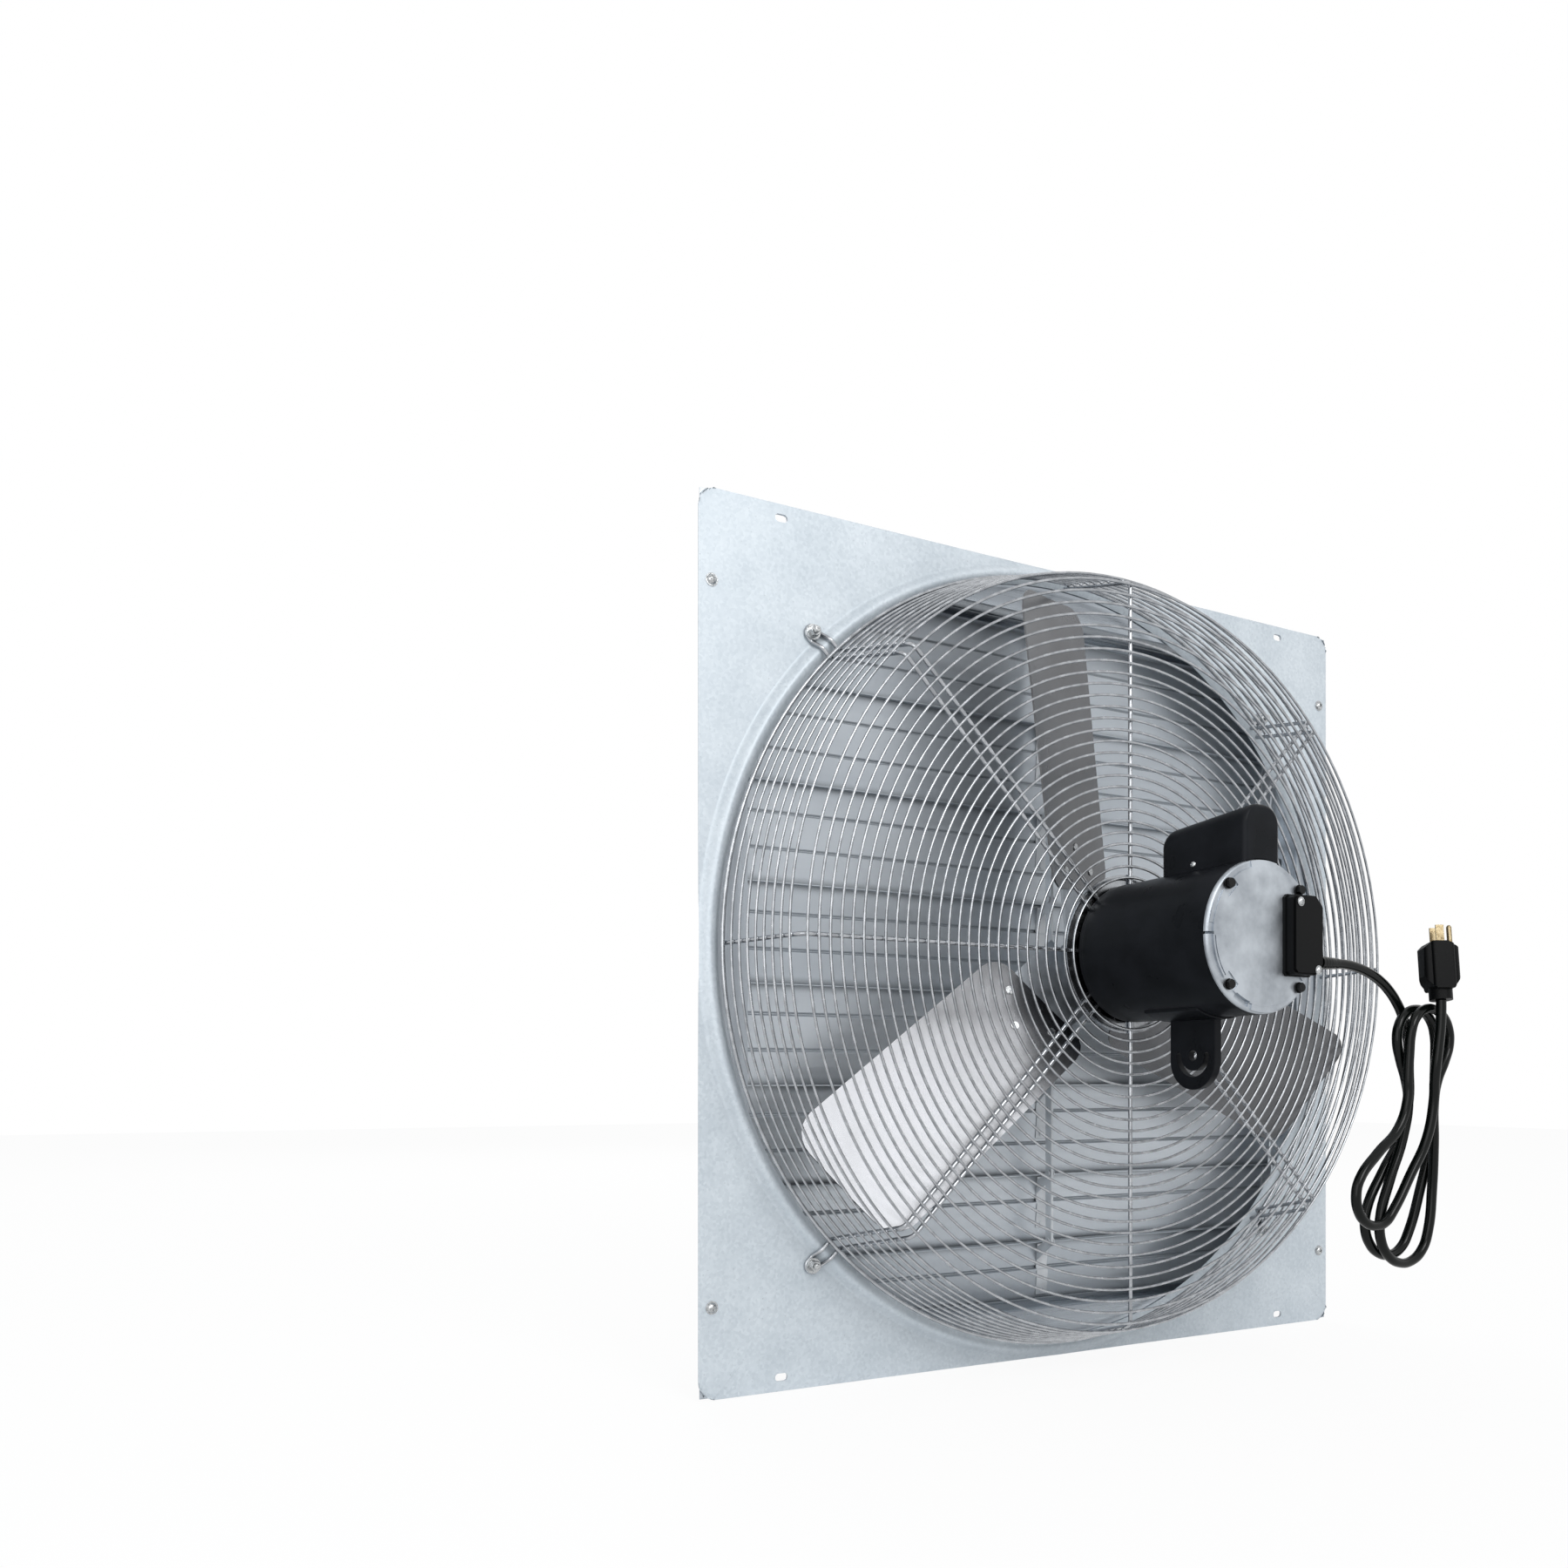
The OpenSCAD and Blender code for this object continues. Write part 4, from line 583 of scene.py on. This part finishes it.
def wire_ring(radius, y, wire):
    bpy.ops.object.select_all(action="DESELECT")
    bpy.ops.mesh.primitive_torus_add(major_segments=168, minor_segments=10, major_radius=radius * mm,
                                     minor_radius=wire * mm, location=(0, y * mm, 0),
                                     rotation=(math.pi / 2, 0, 0))
    bpy.ops.object.transform_apply(location=True, rotation=True)
    return bpy.context.object


front_radii = [first_ring + ring_pitch * k for k in range(27)]
front_rings = join([wire_ring(r, ring_y, wire_r) for r in front_radii])
side_places = [base_y - (base_y - front_y) / 9 * k for k in range(1, 9)]
side_rings = join([wire_ring(side_r(base_y) + (2 * spoke_r + seat) * slant, base_y, spoke_r)] +
                  [wire_ring(side_r(y) + (spoke_r + wire_r + seat) * slant, y, wire_r) for y in side_places])
smooth(front_rings, 60)
hand_over(front_rings, "front_wire_rings", "frame", "zinc_wire", zinc_wire, "guard_front_rings")
smooth(side_rings, 60)
hand_over(side_rings, "side_wire_rings", "frame", "zinc_wire", zinc_wire, "guard_side_rings")


# Spokes: round wire bent from the front over the guard's corner and back along its side.
# Each hairpin has two legs 14 mm apart, which step down to the panel and meet in a half-round bolt loop.
# A bent wire's line is rounded to its bend radii, in a plane through the fan axis.
def rounded(points, bends, steps=7):
    line = [Vector(points[0])]
    for a, b, c, radius in zip(points, points[1:], points[2:], bends):
        a, b, c = Vector(a), Vector(b), Vector(c)
        go, leave = (b - a).normalized(), (c - b).normalized()
        turn = math.atan2(go.x * leave.y - go.y * leave.x, go.dot(leave))
        start = b - go * radius * math.tan(abs(turn) / 2)
        side = Vector((-go.y, go.x)) * (1 if turn > 0 else -1)
        centre = start + side * radius
        for k in range(steps + 1):
            swing = Matrix.Rotation(turn * k / steps, 2)
            line.append(centre + swing @ (start - centre))
    return line + [Vector(points[-1])]


def bent_wires(name, paths, radius):
    shape = bpy.data.curves.new(name, "CURVE")
    shape.dimensions = "3D"
    shape.bevel_depth = radius * mm
    shape.bevel_resolution = 3
    shape.use_fill_caps = True
    for path in paths:
        line = shape.splines.new("POLY")
        line.points.add(len(path) - 1)
        for point, place in zip(line.points, path):
            point.co = (*(Vector(place) * mm), 1)
    piece = bpy.data.objects.new(name, shape)
    bpy.context.scene.collection.objects.link(piece)
    only(piece)
    bpy.ops.object.convert(target="MESH")
    return bpy.context.object


def turned(points, angle):
    c, s = math.cos(angle), math.sin(angle)
    return [(x * c - z * s, y, x * s + z * c) for x, y, z in points]


leg_y, bolt_far, hairpin_half, corner_bend = -5.0, 455.4, 7, 9
spoke_end, step_top, step_foot, step_bend, over_bend = 58, 439, 449.5, 6, 4.45
front_run = [(corner_r, front_y), (spoke_end, front_y)]
single = [(p.x, p.y, 0) for p in rounded([(side_r(over_y + 1), over_y + 1)] + front_run, [corner_bend])]
step_run = [(bolt_far, leg_y), (step_foot, leg_y), (step_top, over_y), (side_r(over_y), over_y)]
leg = rounded(step_run + front_run, [step_bend, step_bend, over_bend, corner_bend])
loop = [(bolt_far + hairpin_half * math.cos(a), leg_y, hairpin_half * math.sin(a))
        for a in [math.pi * (0.5 - k / 14) for k in range(1, 14)]]
hairpin = [(p.x, p.y, hairpin_half) for p in reversed(leg)] + loop + [(p.x, p.y, -hairpin_half) for p in leg]
spokes = bent_wires("single_spokes", [turned(single, math.pi / 2 * k) for k in range(4)], spoke_r)
hairpins = bent_wires("hairpin_spokes", [turned(hairpin, math.pi / 2 * (k + 0.5)) for k in range(4)], spoke_r)
smooth(spokes, 60)
hand_over(spokes, "single_spokes", "frame", "zinc_wire", zinc_wire, "guard_spokes")
smooth(hairpins, 60)
hand_over(hairpins, "hairpin_spokes", "frame", "zinc_wire", zinc_wire, "guard_hairpins")


# Spot welds: a small flattened bead of metal where each ring lies on a spoke.
# It is plated with the guard, so it has the wire's finish.
front_bead, side_bead = (1.9, 1.3, 2.3), (1.3, 1.9, 2.3)
bpy.ops.object.select_all(action="DESELECT")
bpy.ops.mesh.primitive_uv_sphere_add(segments=10, ring_count=6, radius=1 * mm)
welds = bpy.context.object
beads = []
for k in range(8):
    spoke = Matrix.Rotation(-math.pi / 4 * k, 4, "Y")
    for offset in ((0,) if k % 2 == 0 else (-hairpin_half, hairpin_half)):
        spots = [(r, front_y - spoke_r, front_bead) for r in front_radii]
        spots += [(side_r(y) + (spoke_r + seat) * slant, y, side_bead) for y in side_places]
        for radius, y, size in spots:
            along = math.sqrt(radius * radius - offset * offset)
            place = Matrix.Translation(Vector((along, y, offset)) * mm)
            beads.append(spoke @ place @ Matrix.Diagonal((*size, 1)))
repeat(welds, beads)
smooth(welds, 80)
hand_over(welds, "spot_welds", "frame", "zinc_wire", zinc_wire)


# Guard bolts: each clamps a hairpin's loop to the panel under a washer, a spring washer and a hexagon nut.
# They are zinc-plated like the panel's screws.
def hexagon(radius, low, high):
    piece = cylinder(radius, low, high, 6, 0)
    turning = cylinder(radius, low, high, 48, radius * 0.16, 1)
    change(piece, "BOOLEAN", object=turning, operation="INTERSECT", solver="EXACT")
    bpy.data.objects.remove(turning)
    return piece


# A thread's crests and roots are rings half a pitch apart, with a chamfer at the end.
def thread(radius, low, high, pitch=1.0, root=0.88):
    bpy.ops.object.select_all(action="DESELECT")
    bpy.ops.mesh.primitive_circle_add(vertices=32, radius=radius * mm, location=(0, 0, low * mm),
                                      fill_type="NGON")
    piece = bpy.context.object
    bpy.ops.object.transform_apply(location=True)
    bpy.ops.object.mode_set(mode="EDIT")
    bpy.ops.mesh.select_all(action="SELECT")
    for k in range(round((high - low) / pitch * 2)):
        bpy.ops.mesh.extrude_region_move(TRANSFORM_OT_translate={"value": (0, 0, pitch / 2 * mm)})
        narrow = root if k % 2 == 0 else 1 / root
        bpy.ops.transform.resize(value=(narrow, narrow, 1), center_override=(0, 0, 0))
    bpy.ops.mesh.extrude_region_move(TRANSFORM_OT_translate={"value": (0, 0, 0.6 * mm)})
    bpy.ops.transform.resize(value=(0.7, 0.7, 1), center_override=(0, 0, 0))
    bpy.ops.mesh.select_all(action="SELECT")
    bpy.ops.mesh.normals_make_consistent(inside=False)
    bpy.ops.object.mode_set(mode="OBJECT")
    return piece


bolt_across, wire_front, head_under = 322, leg_y - spoke_r, -5.6
bolts = join([
    cylinder(8, seat, 1.5, 48, 0.25), cylinder(5.4, 1.5, 2.6, 40, 0.2), hexagon(5.8, 2.6, 7.4),
    thread(3, 7, 11), cylinder(3, -9, 7.2, 24, 0), cylinder(6.5, head_under - 2.5, head_under, 40, 0.5),
])
bolt_places = [facing(room, x * bolt_across, wire_front, z * bolt_across, 0.5 * x + z) for x, z in corners]
repeat(bolts, bolt_places)
smooth(bolts, 40)
hand_over(bolts, "guard_bolts_and_nuts", "frame", "zinc_screw", zinc_screw, "guard_bolts")
dressed("motor_clamp_ring", "motor_plate", "frame", "zinc_wire", zinc_wire, 0.4, 2)


# Motor: a rolled steel shell between two end castings, held together by four long bolts.
# The shell, front casting, cover and bracket are sprayed with black enamel, with a fine orange peel of about
# 4 mm and a faint dust in patches of 30 mm.
black_enamel, tree, shader = worked_finish("black_enamel", ("#121417", "#191b1f"), 0, (0.27, 0.4),
                                           (30, 5), grain=(260, 2), relief=(0.05, 0.3))
shader.inputs["Specular IOR Level"].default_value = 0.08
motor_back, shell_r, shell_lap = -291.25, 72.4, 5.5


# The shell's rear end is drawn over the casting's side.
def over_the_casting(piece):
    for point in piece.data.vertices:
        radius = math.hypot(point.co.x, point.co.z)
        if radius > 71 * mm:
            point.co.x *= shell_r * mm / radius
            point.co.z *= shell_r * mm / radius
        if point.co.y < -276 * mm:
            point.co.y = (motor_back + shell_lap) * mm


dressed("motor_shell_tube", "motor_shell", "frame", "black_enamel", black_enamel, 0.7, 2,
        shape=over_the_casting)
dressed("front_casting", "front_end_bell", "frame", "black_enamel", black_enamel, 0.8, 2)

# The rear casting is bare aluminium: dull grey clouds of about 45 mm on a pitted skin of 2 to 3 mm.
cast_aluminium, tree, shader = worked_finish(
    "cast_aluminium", ("#9ca2a9", "#c3c9cf"), 1, (0.36, 0.6), (22, 6),
    grain=(420, 5), relief=(0.12, 0.5), spread=(0.3, 0.7), tone_spread=(0.36, 0.64))
tree.nodes["Noise Texture"].inputs["Roughness"].default_value = 0.62
dressed("rear_casting", "rear_end_bell", "frame", "cast_aluminium", cast_aluminium, 0.45, 2)

# The bolts and their nuts have a thin black oxide, with a shine in patches of 2 mm.
black_bolt, tree, shader = worked_finish("black_oxide_bolt", ("#08090a",), 0.2, (0.3, 0.5), (500, 3))
shader.inputs["Specular IOR Level"].default_value = 0.25
bolt_circle, nut_seat = 65, -112.25
angles = [math.radians(a) for a in (45, 135, 225, 315)]
around = [(bolt_circle * math.cos(a), bolt_circle * math.sin(a)) for a in angles]
bolts = join([hexagon(4.7, 0.7, 4.5), cylinder(5.3, 0, 0.8, 40, 0.2), cylinder(2.5, -185, 0, 24, 0.2)])
repeat(bolts, [facing(room, x, motor_back, z, x) for x, z in around])
smooth(bolts, 40)
hand_over(bolts, "long_motor_bolts", "frame", "black_bolt", black_bolt, "motor_bolts")
nuts = join([cylinder(6, 0, 1.2, 40, 0.2), hexagon(5.2, 1.2, 5.7), thread(2.5, 5.5, 8.5)])
repeat(nuts, [facing((0, 1, 0), x, nut_seat, z, z) for x, z in around])
smooth(nuts, 40)
hand_over(nuts, "motor_clamp_nuts", "frame", "black_bolt", black_bolt, "motor_nuts")


# Capacitor cover: drawn steel with wide corner radii, which falls a little toward the front, on the shell.
# It is sprayed with the motor, and a screw at each side holds it.
cover_wide, cover_long, cover_high, cover_fall = 46, 110, 64, 8
cover_y, cover_z = -234.25, 92
cover_front, cover_back = cover_y + cover_long / 2, cover_y - cover_long / 2
saddle_r, saddle_y, cover_screw_y, cover_screw_z = 72.5, -234, -226.25, 75


# An edge across the fan axis belongs to the rim of an end.
def on_rim(edge):
    return abs(edge.verts[0].co.y - edge.verts[1].co.y) < 1e-6


bpy.ops.object.select_all(action="DESELECT")
bpy.ops.mesh.primitive_cube_add(size=1, location=(0, cover_y * mm, cover_z * mm))
cover = bpy.context.object
cover.scale = (cover_wide * mm, cover_long * mm, cover_high * mm)
bpy.ops.object.transform_apply(location=True, scale=True)
for point in cover.data.vertices:
    if point.co.y > cover_y * mm and point.co.z > cover_z * mm:
        point.co.z -= cover_fall * mm
bpy.ops.object.mode_set(mode="EDIT")
pick_edges(cover, lambda e, m: m.z > 100 and abs(m.x) > 20 and abs(m.y - cover_y) < 5)
bpy.ops.mesh.bevel(offset=19 * mm, segments=10, affect="EDGES")
pick_edges(cover, lambda e, m: m.y > cover_front - 0.1 and m.z > 61 and on_rim(e))
bpy.ops.mesh.bevel(offset=14 * mm, segments=9, affect="EDGES")
pick_edges(cover, lambda e, m: m.y < cover_back + 0.1 and m.z > 61 and on_rim(e))
bpy.ops.mesh.bevel(offset=4.5 * mm, segments=6, affect="EDGES")
bpy.ops.object.mode_set(mode="OBJECT")
saddle = cylinder(saddle_r, -80, 80, 128, 0)
saddle.data.transform(Matrix.Translation((0, saddle_y * mm, 0)) @ Matrix.Rotation(math.pi / 2, 4, "X"))
cut(cover, [saddle])
smooth(cover, 35)
hand_over(cover, "capacitor_cover_shell", "frame", "black_enamel", black_enamel, "capacitor_cover")
screws = join([cross_head(3.4, 1.9, 0.05), cylinder(1.7, -3, 0.1, 20, 0)])
repeat(screws, [facing((side, 0, 0), side * cover_wide / 2, cover_screw_y, cover_screw_z, 1)
                for side in (-1, 1)])
smooth(screws, 40)
hand_over(screws, "cover_screws", "frame", "zinc_screw", zinc_screw, "capacitor_screws")


# Terminal cover: a black moulding on the rear casting, held by two screws, with a rubber grip for the cord.
# The plastic is matt, with a spark-eroded grain of about 1 mm.
black_plastic, tree, shader = worked_finish(
    "moulded_black_plastic", ("#070809",), 0, (0.34, 0.46), (1100, 3), relief=(0.05, 0.4))
shader.inputs["Specular IOR Level"].default_value = 0.1
terminal_face, terminal_screws = -304.3, ((33, 33), (57, -30))
dressed("terminal_cover_moulding", "terminal_cover", "frame", "black_plastic", black_plastic, 0.7, 3)
screws = join([cylinder(4.4, 0, 0.6, 40, 0.15), cross_head(3.9, 2.2, 0.6), cylinder(1.8, -12, 0.1, 20, 0)])
repeat(screws, [facing(room, x, terminal_face, z, 1 + x) for x, z in terminal_screws])
smooth(screws, 40)
hand_over(screws, "terminal_cover_screws", "frame", "zinc_screw", zinc_screw, "terminal_screws")
dressed("cord_grip", "strain_relief", "frame", "black_rubber", black_rubber, 0.35, 2, 40)


# Tilt bracket: a steel ear with a pivot hole and a half-round slot, on a saddle welded under the shell.
# It is sprayed with the motor.
dressed("tilt_bracket_ear", "tilt_bracket", "frame", "black_enamel", black_enamel, 0.9, 2)


# Fan wheel: three wide aluminium blades riveted on the curved arms of a cast hub, keyed to the motor shaft.
# The blades are bare sheet, dulled to a darker grey, with soft clouds of 110 mm and drawn lines 1.4 mm apart.
blade_metal = worked_finish("rolled_blade_aluminium", ("#67686a", "#7c7d80"), 1, (0.2, 0.28), (9, 5),
                            grain=((30, 30, 700), 4), relief=(0.006, 0.12))[0]
for k in (1, 2, 3):
    dressed(f"fan_blade_{k}", f"blade_{k}", "fan_wheel", "blade_aluminium", blade_metal, 0.5, 2, 30)
dressed("wheel_rivets", "blade_rivets", "fan_wheel", "zinc_screw", zinc_screw, 0.3, 2)
dressed("cast_hub", "hub", "fan_wheel", "cast_aluminium", cast_aluminium, 0.8, 2)


# Plug: a moulded grounding plug with two flat blades and a round pin, on the end of the cord.
# The blades and pin are bare brass, a little dulled in patches of 2 to 3 mm.
plug = dressed("plug_moulding", "plug_body", "frame", "black_plastic", black_plastic, 1.4, 3, 50)
brass = worked_finish("plug_brass", ("#85765a", "#a3967a"), 1, (0.18, 0.36), (380, 4))[0]
prongs = dressed("plug_blades_and_pin", "plug_prongs", "frame", "prong_brass", brass, 0.3, 2)


# Inside the motor: a ground steel shaft, bearings and capacitor can with fine lines of 1 mm along the axis,
# cores of laminated steel with sheets of 0.6 mm, and varnished copper windings with strands of about 1 mm.
def paint(finish, *names):
    for name in names:
        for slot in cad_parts[name].material_slots:
            slot.link = "OBJECT"
            slot.material = finish


steel = worked_finish("ground_steel", ("#b9bcc0",), 1, (0.2, 0.36), ((900, 40, 900), 3))[0]
paint(steel, "motor_shaft", "motor_bearings", "capacitor")
core = worked_finish("laminated_core_steel", ("#44474b", "#777b80"), 1, (0.42, 0.42), ((20, 1600, 20), 2),
                     spread=(0, 1))[0]
paint(core, "stator_core", "rotor_core")
copper = worked_finish("varnished_copper_winding", ("#8d4f28", "#c98750"), 1, (0.35, 0.35), (900, 2),
                       relief=(0.3, 0.8), spread=(0, 1))[0]
paint(copper, "stator_windings")
